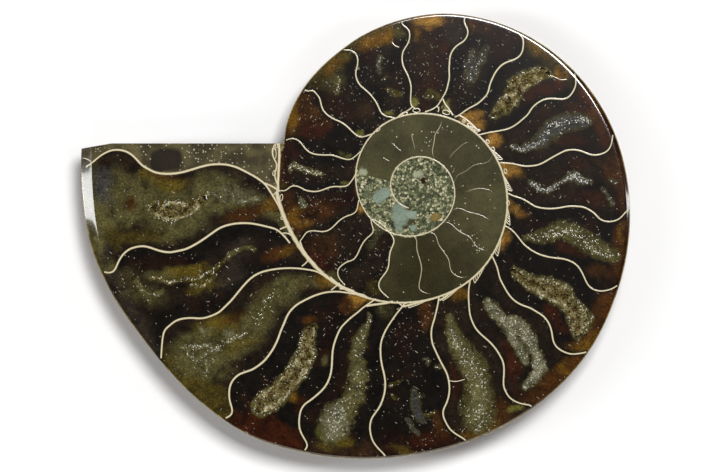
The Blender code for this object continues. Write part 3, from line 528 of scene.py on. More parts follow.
SEPTUM_LINES = [(width, [from_photo(*spot) for spot in spots]) for width, spots in SEPTUM_PIXELS]
STRANDS = [(width, [from_photo(*spot) for spot in spots]) for width, spots in STRAND_PIXELS]
SEAMS = [(name, share, [from_photo(*spot) for spot in spots])
         for name, share, spots in SEAM_PIXELS]
CELLS = [(*from_photo(x, y), round(along * PIXEL, 2), round(across * PIXEL, 2), turn)
         for x, y, along, across, turn in CELL_PIXELS]
GLOWS = [(*from_photo(x, y), round(along * PIXEL, 1), round(across * PIXEL, 1), *rest)
         for x, y, along, across, *rest in GLOW_PIXELS]


def smooth_step(x):
    """Ease from 0 to 1 as x goes from 0 to 1."""
    x = np.clip(x, 0.0, 1.0)
    return x * x * (3 - 2 * x)


def bump(x, middle, reach):
    """Smooth bump: 1 in the middle, 0 at the reach and beyond it."""
    share = np.clip(np.abs(x - middle) / reach, 0.0, 1.0)
    return (1 - share * share) ** 2


def smooth_between(before, start, end, after, share):
    """Catmull-Rom curve from start to end, led in and out by the values on both sides."""
    linear_part = end - before
    square = before * 2 - start * 5 + end * 4 - after
    cube = (start - end) * 3 + after - before
    return start + (linear_part + (square + cube * share) * share) * (share * 0.5)


def smooth_curve(x, marks):
    """Smooth curve through (x, value) marks, level beyond both ends."""
    places, values = np.array(marks, float).T
    x = np.clip(x, places[0], places[-1])
    last = len(places) - 1
    i = np.clip(np.searchsorted(places, x) - 1, 0, last - 1)
    share = (x - places[i]) / (places[i + 1] - places[i])
    near = [values[np.clip(i + k, 0, last)] for k in (-1, 0, 1, 2)]
    return smooth_between(*near, share)


def smooth_path(marks, steps):
    """Smooth path through marks, each a row of numbers, with this many steps between two."""
    marks = np.array(marks, float)
    last = len(marks) - 1
    path = []
    for i in range(last):
        near = [marks[min(max(i + k, 0), last)] for k in (-1, 0, 1, 2)]
        path += [smooth_between(*near, step / steps) for step in range(steps)]
    return np.array(path + [marks[-1]])


def wall_radius(angle):
    """Radius in mm of the whorl's outer wall, at an angle in degrees along the spiral."""
    even = WALL_RADIUS_AT_180 * GROWTH_PER_TURN ** ((180 - angle) / 360)
    return even + smooth_curve(angle, WALL_SWELLS) + smooth_curve(angle, INNER_WALL_SWELLS)


def heading(degrees):
    """Unit direction on the face at each angle in degrees."""
    turn = np.radians(degrees)
    return np.stack([np.cos(turn), np.sin(turn)], axis=-1)


def spiral_point(angle, out):
    """Places in mm on the face, from the angle and the share of the way out to the wall."""
    outer = wall_radius(angle)
    inner = wall_radius(angle + 360)
    radius = inner + (outer - inner) * out
    return SPIRAL_MIDDLE + heading(angle) * np.asarray(radius)[..., None]


def spiral_place(spots):
    """Angle along the spiral and share of the way out, of places in mm on the face."""
    away = spots - SPIRAL_MIDDLE
    radius = np.hypot(away[:, 0], away[:, 1])
    polar = np.degrees(np.arctan2(away[:, 1], away[:, 0])) % 360
    angle = np.where(polar < 158, polar + 360, polar)
    for _ in range(4):
        angle = np.where(radius <= wall_radius(angle + 360), angle + 360, angle)
    inner = wall_radius(angle + 360)
    return angle, (radius - inner) / (wall_radius(angle) - inner), radius


def traced(marks, spacing=0.3):
    """Even and smoothed path through marks read round the spiral's middle."""
    path = smooth_path(marks, 6)
    path[:, :2] += SPIRAL_MIDDLE
    steps = np.linalg.norm(np.diff(path[:, :2], axis=0), axis=1)
    length = np.concatenate([[0.0], np.cumsum(steps)])
    even = np.linspace(0, length[-1], max(int(length[-1] / spacing), 6))
    path = np.column_stack([np.interp(even, length, values) for values in path.T])
    before = 2 * path[0] - path[2:0:-1]
    after = 2 * path[-1] - path[-2:-4:-1]
    padded = np.vstack([before, path, after])
    return np.column_stack([np.convolve(values, np.ones(5) / 5, "valid") for values in padded.T])


def wall_table(marks):
    """A traced chamber wall as shares of the way out and the angle along the spiral there."""
    away = traced(marks) - SPIRAL_MIDDLE
    radius = np.hypot(away[:, 0], away[:, 1])
    angle = np.degrees(np.unwrap(np.arctan2(away[:, 1], away[:, 0])))
    half_way = len(away) // 2
    along = spiral_place(SPIRAL_MIDDLE + away[half_way:half_way + 1])[0][0]
    angle += along - angle[half_way]
    inner = wall_radius(angle + 360)
    out = (radius - inner) / (wall_radius(angle) - inner)
    order = np.argsort(out)
    return out[order], angle[order]


WALL_TABLES = [wall_table(marks) for _, marks in SEPTUM_LINES[:FILLED_CHAMBERS]]


def chamber_place(angle, out):
    """Number of the chamber, share of the way through it and its width in degrees."""
    walls = np.array([np.interp(out, *table) for table in WALL_TABLES])
    number = (angle > walls).sum(axis=0)
    limits = np.vstack([walls[:1] - 19, walls, walls[-1:] + 24])
    column_number = np.arange(len(angle))
    low = limits[number, column_number]
    high = limits[number + 1, column_number]
    return number, np.clip((angle - low) / (high - low), 0.0, 1.0), high - low


def in_mudstone(spots):
    """Which places on the face are mudstone, or the brown matrix at the saw cut."""
    angle, out, _ = spiral_place(spots)
    number = chamber_place(angle, out)[0]
    return (number >= FILLED_CHAMBERS) | (number < 1)


def flank_share(share):
    """Depth of the flank as a share of its crest, from the radius as a share of the wall's."""
    outward = np.clip((share - CREST_SHARE) / (1 - CREST_SHARE), 0.0, 1.0)
    inward = np.clip((CREST_SHARE - share) / (CREST_SHARE - UMBILICUS_SHARE), 0.0, 1.0)
    shoulder = 1 - SHOULDER_LOSS * inward ** 2
    wall = 1 - smooth_step((UMBILICUS_SHARE - share) / UMBILICUS_WALL_SHARE)
    rounded = np.sqrt(np.maximum(1 - outward ** FLANK_ROUNDNESS, 0.0))
    return np.where(share >= CREST_SHARE, rounded, shoulder * wall)


def rib_depth(angle, share):
    """Depth of the groove between two ribs, which curve forward towards the rim."""
    window = smooth_step((share - 0.62) / 0.15) * smooth_step((0.99 - share) / 0.05)
    phase = (angle + RIB_SWEEP * share * share) * RIBS_PER_TURN / 360
    return RIB_DEPTH * window * (0.5 - 0.5 * np.cos(math.tau * phase))


def back_depth(angle, radius, edge_drop):
    """Depth in mm of the back below the polished face, for arrays of places."""
    deepest = np.where(radius < INNER_RADIUS, THINNEST, edge_drop)
    for whorl in range(4):
        along = angle + 360 * whorl
        share = radius / wall_radius(along)
        turns_back = np.maximum(along - LEVEL_UNTIL, 0) / 360
        crest = np.maximum(THICKNESS * GROWTH_PER_TURN ** (-THINNING * turns_back), THINNEST)
        depth = edge_drop + (crest - edge_drop) * flank_share(share)
        if whorl == 0:
            depth = depth - rib_depth(along, share)
        deepest = np.maximum(deepest, depth)
    return deepest


def growth_line(turn, reach):
    """Places in mm on the growth line at this turn. The saw cut is the growth line at 180."""
    direction = np.array((math.cos(math.radians(turn)), math.sin(math.radians(turn))))
    side = np.array((direction[1], -direction[0]))
    return SPIRAL_MIDDLE + side * SAW_CUT_ABOVE_MIDDLE + direction * np.asarray(reach)[..., None]


def growth_angle(turn, reach):
    """Angle along the spiral of places on a growth line."""
    return turn - np.degrees(np.arctan2(SAW_CUT_ABOVE_MIDDLE, reach))


def rim_reach(turn):
    """How far along its growth line the outer wall is."""
    reach = wall_radius(turn)
    for _ in range(40):
        radius = wall_radius(growth_angle(turn, reach))
        reach = 0.5 * reach + 0.5 * np.sqrt(radius ** 2 - SAW_CUT_ABOVE_MIDDLE ** 2)
    return reach - RIM_INSET


def worn(spots):
    """Places after the outer end of the saw cut was worn down."""
    saw_cut = SPIRAL_MIDDLE[1] + SAW_CUT_ABOVE_MIDDLE
    start = SPIRAL_MIDDLE[0] - rim_reach(180) + WORN_LENGTH
    along = np.clip((start - spots[:, 0]) / WORN_LENGTH, 0.0, 1.2)
    near = np.clip(1 - (saw_cut - spots[:, 1]) / WORN_REACH, 0.0, 1.0)
    moved = spots.copy()
    moved[:, 1] -= WORN_DROP * along * near
    return moved


def path_directions(path):
    """Unit directions ahead and to the left at each point of a path."""
    ahead = np.gradient(path, axis=0)
    ahead /= np.maximum(np.linalg.norm(ahead, axis=1), 1e-9)[:, None]
    return ahead, np.column_stack([-ahead[:, 1], ahead[:, 0]])


def pocket_line(name, steps=5):
    """Points along a pocket's middle line, each with its half width, in mm."""
    line = smooth_path(POCKETS[name], steps)
    line[:, :2] += POCKET_SHIFT
    return line


def inside_outline(spots, outline):
    """Which places lie inside a closed outline."""
    inside = np.zeros(len(spots), bool)
    x, y = spots[:, 0], spots[:, 1]
    for (ax, ay), (bx, by) in zip(outline, np.roll(outline, -1, axis=0)):
        if ay == by:
            continue
        crosses = (ay > y) != (by > y)
        inside ^= crosses & (x < (bx - ax) * (y - ay) / (by - ay) + ax)
    return inside


def distance_to_path(spots, path):
    """Distance in mm from each place to a path, as a share of the path's half width there."""
    nearest = np.full(len(spots), 1e9)
    for a, b in zip(path, path[1:]):
        along = b[:2] - a[:2]
        share = np.clip((spots - a[:2]) @ along / max(along @ along, 1e-9), 0.0, 1.0)
        gap = np.linalg.norm(spots - a[:2] - share[:, None] * along, axis=1)
        nearest = np.minimum(nearest, gap / (a[2] + (b[2] - a[2]) * share))
    return nearest


def turned_place(spots, middle, turn):
    """How far each place lies ahead of and beside a middle, along a direction in degrees."""
    away = spots - middle
    turn = math.radians(turn)
    ahead = away @ np.array((math.cos(turn), math.sin(turn)))
    beside = away @ np.array((-math.sin(turn), math.cos(turn)))
    return ahead, beside


def wavering(spots, size, seed):
    """Smooth random value from -1 to 1 at each place, with features of this size in mm."""
    return np.array([noise.fractal(Vector((x / size, y / size, seed)), 1.0, 2.0, 3)
                     for x, y in spots])


def new_piece(name, points, faces, materials, face_materials=None):
    """Object with a mesh from points in mm."""
    mesh = bpy.data.meshes.new(name)
    mesh.from_pydata([tuple(point) for point in np.asarray(points) * MM], [], faces)
    for material in materials:
        mesh.materials.append(material)
    if face_materials is not None:
        mesh.polygons.foreach_set("material_index", face_materials)
    mesh.validate()
    mesh.update()
    piece = bpy.data.objects.new(name, mesh)
    bpy.context.scene.collection.objects.link(piece)
    return piece


def smooth_outwards(piece, angle):
    """Turn a piece's normals outward and shade it smooth up to an angle in degrees."""
    bpy.ops.object.select_all(action="DESELECT")
    piece.select_set(True)
    bpy.context.view_layer.objects.active = piece
    bpy.ops.object.mode_set(mode="EDIT")
    bpy.ops.mesh.select_all(action="SELECT")
    bpy.ops.mesh.normals_make_consistent(inside=False)
    bpy.ops.object.mode_set(mode="OBJECT")
    bpy.ops.object.shade_smooth_by_angle(angle=math.radians(angle))


def point_values(mesh, name, values, kind="FLOAT"):
    """Store a value at each point of a mesh: a number, or a colour with kind FLOAT_COLOR."""
    attribute = mesh.attributes.new(name, kind, "POINT")
    key = "color" if kind == "FLOAT_COLOR" else "value"
    attribute.data.foreach_set(key, np.asarray(values, float).ravel())


def fill_plane(points, loops, holes=()):
    """Triangles over a flat area from its points, bounded by loops of point numbers."""
    edges = []
    for loop in list(loops) + list(holes):
        edges += list(zip(loop, loop[1:] + loop[:1]))
    result = delaunay_2d_cdt([Vector(point) for point in points], edges, [], 0, 1e-7)
    spots = np.array([tuple(co) for co in result[0]])
    if any(not group for group in result[3]):
        raise ValueError("two boundary lines of a flat area cross")
    origin = [group[0] for group in result[3]]
    faces = np.array(result[2])
    centres = spots[faces].mean(axis=1)
    outer = np.zeros(len(faces), bool)
    for loop in loops:
        outer |= inside_outline(centres, np.array([points[i] for i in loop]))
    for hole in holes:
        outer &= ~inside_outline(centres, np.array([points[i] for i in hole]))
    return [tuple(origin[i] for i in face) for face in faces[outer]]


def add_node(tree, kind, inputs=None, **settings):
    """Add a node. Its inputs are values, or sockets to link from."""
    new = tree.nodes.new(kind)
    for key, value in settings.items():
        setattr(new, key, value)
    for key, value in (inputs or {}).items():
        if isinstance(value, bpy.types.NodeSocket):
            tree.links.new(value, new.inputs[key])
        else:
            new.inputs[key].default_value = value
    return new


def stored(tree, name, output="Fac"):
    """Value or colour that the mesh holds at its points under this name."""
    return add_node(tree, "ShaderNodeAttribute", attribute_name=name).outputs[output]


def worked_out(tree, operation, *values):
    """Result of an operation on numbers or sockets."""
    node = add_node(tree, "ShaderNodeMath", dict(enumerate(values)), operation=operation)
    return node.outputs["Value"]


def ranged(tree, value, from_min=0.0, from_max=1.0, to_min=0.0, to_max=1.0):
    """Value moved from one range to another, and held at that range's ends."""
    node = add_node(tree, "ShaderNodeMapRange", {
        "Value": value, "From Min": from_min, "From Max": from_max, "To Min": to_min,
        "To Max": to_max})
    return node.outputs["Result"]


def scaled(tree, colour, level):
    """Colour made brighter or darker by a level."""
    node = add_node(tree, "ShaderNodeVectorMath", {0: colour, "Scale": level}, operation="SCALE")
    return node.outputs["Vector"]


def laid_over(tree, share, below, above):
    """One colour over another, covering this share. A colour is a socket or a hex code."""
    below, above = ((*linear(layer), 1.0) if isinstance(layer, str) else layer
                    for layer in (below, above))
    node = add_node(tree, "ShaderNodeMix", {"Factor": share, "A": below, "B": above},
                    data_type="RGBA")
    return node.outputs[2]


def ramp(tree, value, *stops):
    """Colour at a value, between stops that are each a position and a hex code."""
    node = add_node(tree, "ShaderNodeValToRGB", {"Fac": value})
    elements = node.color_ramp.elements
    while len(elements) < len(stops):
        elements.new(0.5)
    for element, (position, colour) in zip(elements, stops):
        element.position = position
        element.color = (*linear(colour), 1.0)
    return node.outputs["Color"]


def clouds(tree, place, scale, detail, roughness=0.5, distortion=0.0):
    """Cloudy random value at each place."""
    node = add_node(tree, "ShaderNodeTexNoise", {
        "Vector": place, "Scale": scale, "Detail": detail, "Roughness": roughness,
        "Distortion": distortion})
    return node.outputs["Fac"]


def random_cells(tree, place, scale):
    """Distance from the middle of the cell at each place, and two random values of that cell."""
    cells = add_node(tree, "ShaderNodeTexVoronoi", {"Vector": place, "Scale": scale})
    pick = add_node(tree, "ShaderNodeSeparateColor", {"Color": cells.outputs["Color"]})
    return cells.outputs["Distance"], pick.outputs["Red"], pick.outputs["Green"]


def roughen(tree, shader, height, strength, distance):
    """Give a surface fine relief."""
    bumps = add_node(tree, "ShaderNodeBump", {
        "Strength": strength, "Distance": distance, "Height": height})
    tree.links.new(bumps.outputs["Normal"], shader.inputs["Normal"])


def new_material(name, roughness, coat=0.0):
    """Empty material: its tree, its shader and its object coordinates."""
    material = bpy.data.materials.new(name)
    material.use_nodes = True
    tree = material.node_tree
    shader = tree.nodes["Principled BSDF"]
    shader.inputs["Roughness"].default_value = roughness
    shader.inputs["Coat Weight"].default_value = coat
    shader.inputs["Coat Roughness"].default_value = 0.04
    place = add_node(tree, "ShaderNodeTexCoord").outputs["Object"]
    return material, tree, shader, place


def add_flecks(tree, place, fleck_share, flecked):
    """Lay pale points and short needles of cleavage over a colour of the calcite."""
    for scale, stretch, size, turn in FLECK_KINDS:
        turned = add_node(tree, "ShaderNodeVectorRotate", {
            "Vector": place, "Angle": turn}, rotation_type="Z_AXIS")
        stretched = add_node(tree, "ShaderNodeMapping", {
            "Vector": turned.outputs["Vector"], "Scale": (scale, scale * stretch, scale)})
        distance, pick, brightness = random_cells(tree, stretched.outputs["Vector"], 1.0)
        odds = worked_out(tree, "MULTIPLY", fleck_share, 1.0 if stretch == 1.0 else 0.4)
        chosen = worked_out(tree, "LESS_THAN", pick, odds)
        fleck = worked_out(tree, "MULTIPLY", chosen, ranged(tree, distance, size, size * 0.5))
        dim = ranged(tree, brightness, 0.2, 1.0, 0.1, 0.75)
        faded = worked_out(tree, "MULTIPLY", fleck, dim)
        flecked = laid_over(tree, faded, flecked, "C9C3AE")
    return flecked


def polished_calcite():
    """Calcite that filled the chambers, cut and polished: glassy, cloudy and deep brown.

    The minerals' broad tones come from the mesh. Cloud, mottling, crystal seams, whose pale
    crystals carry painted glints, and cleavage flecks are drawn here, at the size that they have in
    the stone.
    """
    material, tree, shader, place = new_material("polished_calcite", 0.1, coat=1.0)
    cloud = ranged(tree, clouds(tree, place, CLOUD_SCALE, 7.0, 0.68, 0.6), 0.34, 0.7, 0.4, 1.75)
    grit = ranged(tree, clouds(tree, place, GRIT_SCALE, 3.0, 0.75), 0.36, 0.68, 0.5, 1.65)
    level = worked_out(tree, "MULTIPLY", cloud, grit)
    mottled = scaled(tree, stored(tree, "tone", "Color"), level)

    seam = stored(tree, "seam")
    wobble = clouds(tree, place, SEAM_RAGGED_SCALE, 6.0, 0.85, 1.2)
    ragged = worked_out(tree, "ADD", seam, worked_out(tree, "MULTIPLY_ADD", wobble, 2.4, -1.2))
    there = ranged(tree, seam, from_max=0.12)
    fringe = worked_out(tree, "MULTIPLY", ranged(tree, ragged, 0.0, 0.4), there)
    fringed = laid_over(tree, fringe, mottled, "3C3614")
    filled = worked_out(tree, "MULTIPLY", ranged(tree, ragged, 0.12, 0.75), there)
    seam_tone = scaled(tree, stored(tree, "seam_tone", "Color"), level)
    seamed = laid_over(tree, filled, fringed, seam_tone)

    distance, pick, brightness = random_cells(tree, place, SEAM_CRYSTAL_SCALE)
    odds = worked_out(tree, "MULTIPLY", ranged(tree, ragged, 0.2, 0.95), stored(tree, "specks"))
    lit = worked_out(tree, "LESS_THAN", pick, odds)
    crystal = worked_out(tree, "MULTIPLY", lit, ranged(tree, distance, 0.55, 0.25))
    # Painted glints: each pale crystal's random brightness stands partly for light caught on its
    # facets.
    crystals_and_glints = worked_out(tree, "MULTIPLY", crystal, ranged(tree, brightness, to_min=0.3))
    sugared = laid_over(tree, crystals_and_glints, seamed, "D6D2BC")
    flecked = add_flecks(tree, place, stored(tree, "flecks"), sugared)
    tree.links.new(flecked, shader.inputs["Base Color"])
    roughen(tree, shader, crystals_and_glints, 0.25, 0.0001)
    return material


def polished_mudstone():
    """Fine mudstone in the older whorls, polished, and the granular matrix round the core."""
    material, tree, shader, place = new_material("polished_mudstone", 0.1, coat=0.5)
    silt = clouds(tree, place, SILT_SCALE, 3.0, 0.7)
    patch = clouds(tree, place, MUD_PATCH_SCALE, 4.0, 0.6)
    level = ranged(tree, worked_out(tree, "ADD", silt, patch), 0.7, 1.3, 0.72, 1.3)
    mottled = scaled(tree, stored(tree, "tone", "Color"), level)

    distance, pick, _ = random_cells(tree, place, PALE_GRAIN_SCALE)
    chosen = worked_out(tree, "LESS_THAN", pick, stored(tree, "grains"))
    dot = worked_out(tree, "MULTIPLY", chosen, ranged(tree, distance, 0.36, 0.18))
    dotted = laid_over(tree, dot, mottled, "C3BFA0")

    _, pick, _ = random_cells(tree, place, PEBBLE_SCALE)
    pebble_tone = ramp(tree, pick, (0.0, "3E402C"), (0.35, "606548"), (0.6, "7E8462"),
                       (0.8, "A5A27C"), (1.0, "CCC6A4"))
    edges = add_node(tree, "ShaderNodeTexVoronoi", {"Vector": place, "Scale": PEBBLE_SCALE},
                     feature="DISTANCE_TO_EDGE")
    gap = ranged(tree, edges.outputs["Distance"], 0.03, 0.16, 0.3)
    ragged = worked_out(tree, "MULTIPLY_ADD", patch, 0.8, -0.4)
    shifted = worked_out(tree, "ADD", stored(tree, "pebbles"), ragged)
    finished = laid_over(tree, ranged(tree, shifted, 0.42, 0.58), dotted,
                         scaled(tree, pebble_tone, gap))
    tree.links.new(finished, shader.inputs["Base Color"])
    roughen(tree, shader, silt, 0.12, 0.0001)
    return material


def shell_back():
    """Shell and calcite of the outer flank, tumbled smooth: honey brown with frilled sutures."""
    material, tree, shader, place = new_material("polished_shell_flank", 0.28)
    cloud = clouds(tree, place, FLANK_CLOUD_SCALE, 7.0, 0.65, 0.7)
    tone = ramp(tree, cloud, (0.25, "2A1A0D"), (0.42, "5A3A18"), (0.55, "7D5C2C"),
                (0.68, "9A8250"), (0.85, "B9AC86"))
    frill = clouds(tree, place, SUTURE_FRILL_SCALE, 5.0, 0.6, 0.4)
    frilled = worked_out(tree, "MULTIPLY_ADD", frill, 0.55, stored(tree, "suture"))
    share = worked_out(tree, "FRACT", frilled)
    away = worked_out(tree, "ABSOLUTE", worked_out(tree, "SUBTRACT", share, 0.5))
    inked = laid_over(tree, ranged(tree, away, 0.05, 0.02), tone, "1E1A12")
    tree.links.new(inked, shader.inputs["Base Color"])
    roughen(tree, shader, clouds(tree, place, FLANK_PIT_SCALE, 4.0), 0.2, 0.0002)
    return material


def sawn_matrix():
    """Sawn end of the stone: matt brown matrix with pale specks and fine saw marks."""
    material, tree, shader, place = new_material("sawn_matrix", 0.5)
    tone = ramp(tree, clouds(tree, place, SAWN_CLOUD_SCALE, 6.0, 0.7), (0.3, "1C1511"),
                (0.5, "33281C"), (0.66, "4A4130"), (0.8, "9C9272"))
    tree.links.new(tone, shader.inputs["Base Color"])
    marks = add_node(tree, "ShaderNodeTexWave", {
        "Vector": place, "Scale": SAW_MARK_SCALE, "Distortion": 1.5, "Detail": 2.0},
        bands_direction="Z")
    roughen(tree, shader, marks.outputs["Fac"], 0.25, 0.0002)
    return material


def shell_wall():
    """Shell walls turned to calcite: creamy white, polished flush, darker along their edges."""
    material, tree, shader, place = new_material("calcified_shell_wall", 0.14)
    fine = clouds(tree, place, WALL_GRAIN_SCALE, 4.0, 0.7)
    worn_edge = worked_out(tree, "MULTIPLY_ADD", fine, 0.5, stored(tree, "edge"))
    tone = ramp(tree, worn_edge, (0.2, "DCD4BA"), (0.6, "CBBF9C"), (1.0, "8E7E56"))
    faded = laid_over(tree, stored(tree, "pale"), "5E5840", tone)
    tree.links.new(faded, shader.inputs["Base Color"])
    return material


def druse_crystal():
    """Sugar-like calcite crystals in the open pockets: pale, glassy, slightly stained, and darker
    with painted shade deep in the pocket.
    """
    material, tree, shader, _ = new_material("calcite_druse", 0.25)
    tone = ramp(tree, stored(tree, "tint_and_depth_shade"), (0.0, "382C10"), (0.3, "6A5C30"), (0.6, "958A62"),
                (0.85, "C8C0A0"), (1.0, "E6E0C8"))
    tree.links.new(tone, shader.inputs["Base Color"])
    return material


def druse_bed():
    """Olive brown calcite that the pocket's crystals grow from, dark in the gaps."""
    material, tree, shader, place = new_material("druse_bed", 0.6)
    tone = ramp(tree, clouds(tree, place, DRUSE_BED_SCALE, 4.0), (0.3, "4A3E1A"),
                (0.6, "7E7040"), (0.8, "A89A66"))
    tree.links.new(tone, shader.inputs["Base Color"])
    return material


class FossilSizes(bpy.types.PropertyGroup):
    """Sizes of the finished surfaces that a user would change."""
    face_spacing: FloatProperty(
        name="Face spacing", description="Distance between points on the polished face",
        default=0.5 * MM, min=0.3 * MM, max=2 * MM, unit="LENGTH", precision=5)
    columns: IntProperty(
        name="Growth lines", description="Growth lines that the mesh of the back follows",
        default=360, min=90, max=720)
    septum_scale: FloatProperty(
        name="Septum width", description="Width of the chamber walls as a share of the traced one",
        default=0.8, min=0.3, max=3.0)
    wall_width: FloatProperty(
        name="Whorl wall width", description="Width of the wall between two whorls",
        default=USUAL_WALL_WIDTH * MM, min=0.2 * MM, max=1.5 * MM, unit="LENGTH", precision=5)
    crystal_size: FloatProperty(
        name="Crystal size", description="Length of an average crystal in the pockets",
        default=0.5 * MM, min=0.2 * MM, max=2 * MM, unit="LENGTH", precision=5)
    pocket_depth: FloatProperty(
        name="Pocket depth", description="Depth of the open pockets",
        default=2.6 * MM, min=1 * MM, max=4 * MM, unit="LENGTH", precision=5)


class FossilColours(bpy.types.PropertyGroup):
    """Colours of the stage."""
    floor: FloatVectorProperty(
        name="Floor", description="Colour of the plain floor", subtype="COLOR",
        default=linear("F7F7F7"), min=0.0, max=1.0)


def edge_width(turn):
    """Width in mm of the rounded edge, which is broader where the wall was worn."""
    worn_part = WORN_RIM_WIDTH * bump(turn, *WORN_RIM)
    return EDGE_WIDTH + worn_part + RIGHT_RIM_WIDTH * bump(turn, *RIGHT_RIM)


def edge_fall(turn, share):
    """Drop in mm of the edge at a share of its width, from the face to the rim."""
    worn_share = np.minimum(1.0, 1.4 * bump(turn, *WORN_RIM))
    rounded = 1 - np.sqrt(np.maximum(1 - share ** 2, 0.0))
    drop = EDGE_DROP + DROP_PER_WIDTH * (edge_width(turn) - EDGE_WIDTH)
    flat = (np.maximum(share - 0.1, 0.0) / 0.9) ** 1.12
    return drop * (rounded * (1 - worn_share) + flat * worn_share)


def growth_place(spots):
    """Turn of the growth line through each place on the face, and how far along it that is."""
    away = spots - SPIRAL_MIDDLE
    radius = np.maximum(np.hypot(away[:, 0], away[:, 1]), SAW_CUT_ABOVE_MIDDLE + 0.01)
    reach = np.sqrt(radius ** 2 - SAW_CUT_ABOVE_MIDDLE ** 2)
    polar = np.degrees(np.arctan2(away[:, 1], away[:, 0]))
    turn = (polar + np.degrees(np.arctan2(SAW_CUT_ABOVE_MIDDLE, reach)) - 180) % 360 + 180
    return turn, reach


def rim_gap(spots):
    """Distance in mm along the growth line from each place on the face out to the rim."""
    turn, reach = growth_place(spots)
    return rim_reach(turn) - reach


def face_height(spots):
    """Height in mm of the polished face and its rounded edge, at places on the face."""
    turn, reach = growth_place(spots)
    share = np.clip(1 - (rim_reach(turn) - reach) / edge_width(turn), 0.0, 1.0)
    return FACE_HEIGHT - edge_fall(turn, share)


def column(turn):
    """Points down one growth line, from the polished face over the rim to the umbilicus."""
    rim = float(rim_reach(turn))
    quarter = np.sin(np.linspace(0, math.pi / 2, EDGE_STEPS + 1))
    edge_reach = rim - edge_width(turn) * (1 - quarter)
    edge_height = FACE_HEIGHT - edge_fall(turn, quarter)
    drop = FACE_HEIGHT - edge_height[-1]
    inner = math.sqrt(INNER_RADIUS ** 2 - SAW_CUT_ABOVE_MIDDLE ** 2)
    step = np.arange(1, FLANK_STEPS + 1) / FLANK_STEPS
    flank_reach = inner + (rim - inner) * (1 - step ** 2)
    radius = np.hypot(flank_reach, SAW_CUT_ABOVE_MIDDLE)
    depth = back_depth(growth_angle(turn, flank_reach), radius, drop)
    height = np.minimum(THICKNESS - depth, FACE_HEIGHT - drop - 0.01)
    reach = np.concatenate([edge_reach, flank_reach])
    spots = growth_line(turn, reach)
    heights = np.concatenate([edge_height, height])
    return np.column_stack([spots, heights])


def unfolded(side, ahead):
    """Numbers of the points on a pocket's side that a tight bend doesn't fold back."""
    kept = [0]
    for i in range(1, len(side)):
        if (side[i] - side[kept[-1]]) @ ahead[i] > 0.08:
            kept.append(i)
    return kept


def ragged_pocket(name, dice):
    """Outline of a pocket's mouth, as broken as the edge of a druse, and its middle line.

    Both have the same number of points.
    """
    line = pocket_line(name)
    ahead, side = path_directions(line[:, :2])
    left = line[:, :2] + side * (line[:, 2:] + dice.uniform(-0.3, 0.2, (len(line), 1)))
    right = line[:, :2] - side * (line[:, 2:] + dice.uniform(-0.3, 0.2, (len(line), 1)))
    tips = (line[0, :2] - ahead[0] * line[0, 2] * 0.8, line[-1, :2] + ahead[-1] * line[-1, 2] * 0.8)
    on_left, on_right = unfolded(left, ahead), unfolded(right, ahead)[::-1]
    outline = np.vstack([[tips[0]], left[on_left], [tips[1]], right[on_right]])
    spine = np.vstack([line[:1, :2], line[on_left, :2], line[-1:, :2], line[on_right, :2]])
    return outline, spine


class StoneMesh:
    """Points and faces of the whole stone, gathered part by part."""

    def __init__(self):
        self.points = []
        self.faces = []
        self.kinds = []

    def add_points(self, rows):
        """Add points and give back their numbers."""
        start = len(self.points)
        self.points += [tuple(row) for row in rows]
        return list(range(start, len(self.points)))

    def add_faces(self, faces, kind):
        """Add faces of one kind of surface."""
        self.faces += faces
        self.kinds += [kind] * len(faces)

    def join_rings(self, near, far, kind):
        """Faces between two closed rings of the same number of points."""
        after = near[1:] + near[:1]
        far_after = far[1:] + far[:1]
        self.add_faces(list(zip(near, after, far_after, far)), kind)


CALCITE, MUDSTONE, FLANK, SAWN, POCKET = range(5)


def build_back(stone, columns):
    """Rim, flank and umbilicus. Gives back the numbers of each growth line's points."""
    turns = [180 + 360 * i / columns for i in range(columns + 1)]
    lines = [stone.add_points(column(turn)) for turn in turns[:-1]]
    last = stone.add_points(column(turns[-1])[:-1])
    lines.append(last + [lines[0][-1]])
    for near, far in zip(lines, lines[1:]):
        for i in range(len(near) - 1):
            corners = (near[i], near[i + 1], far[i + 1], far[i])
            kind = CALCITE if i < EDGE_STEPS - 1 else FLANK
            stone.add_faces([tuple(dict.fromkeys(corners))], kind)

    inner = math.sqrt(INNER_RADIUS ** 2 - SAW_CUT_ABOVE_MIDDLE ** 2)
    angles = np.array([float(growth_angle(turn, inner)) for turn in turns[:-1]])
    ring = [line[-1] for line in lines[:-1]]
    for share in np.linspace(0.97, 0.04, 30):
        radius = np.full(len(angles), INNER_RADIUS * share)
        depth = back_depth(angles, radius, 0.0)
        spots = SPIRAL_MIDDLE + heading(angles) * radius[:, None]
        numbers = stone.add_points(np.column_stack([spots, THICKNESS - depth]))
        stone.join_rings(ring, numbers, FLANK)
        ring = numbers
    depth = back_depth(angles[:1], np.zeros(1), 0.0)[0]
    middle = stone.add_points([(*SPIRAL_MIDDLE, THICKNESS - depth)])[0]
    stone.add_faces([(a, b, middle) for a, b in zip(ring, ring[1:] + ring[:1])], FLANK)
    return lines


def build_saw_cut(stone, lines):
    """Sawn wall below the straight edge, with the earlier whorl's flank at its inner end."""
    start = np.array(stone.points[lines[-1][0]])
    end = np.array(stone.points[lines[0][0]])
    count = int(np.linalg.norm(end - start) / 0.5)
    edge = stone.add_points([start + (end - start) * i / count for i in range(1, count)])
    loop = lines[0] + lines[-1][-2::-1] + edge
    flat = {number: (stone.points[number][0], stone.points[number][2]) for number in loop}
    faces = fill_plane([flat[number] for number in loop], [list(range(len(loop)))])
    stone.add_faces([tuple(loop[i] for i in face) for face in faces], SAWN)
    return edge


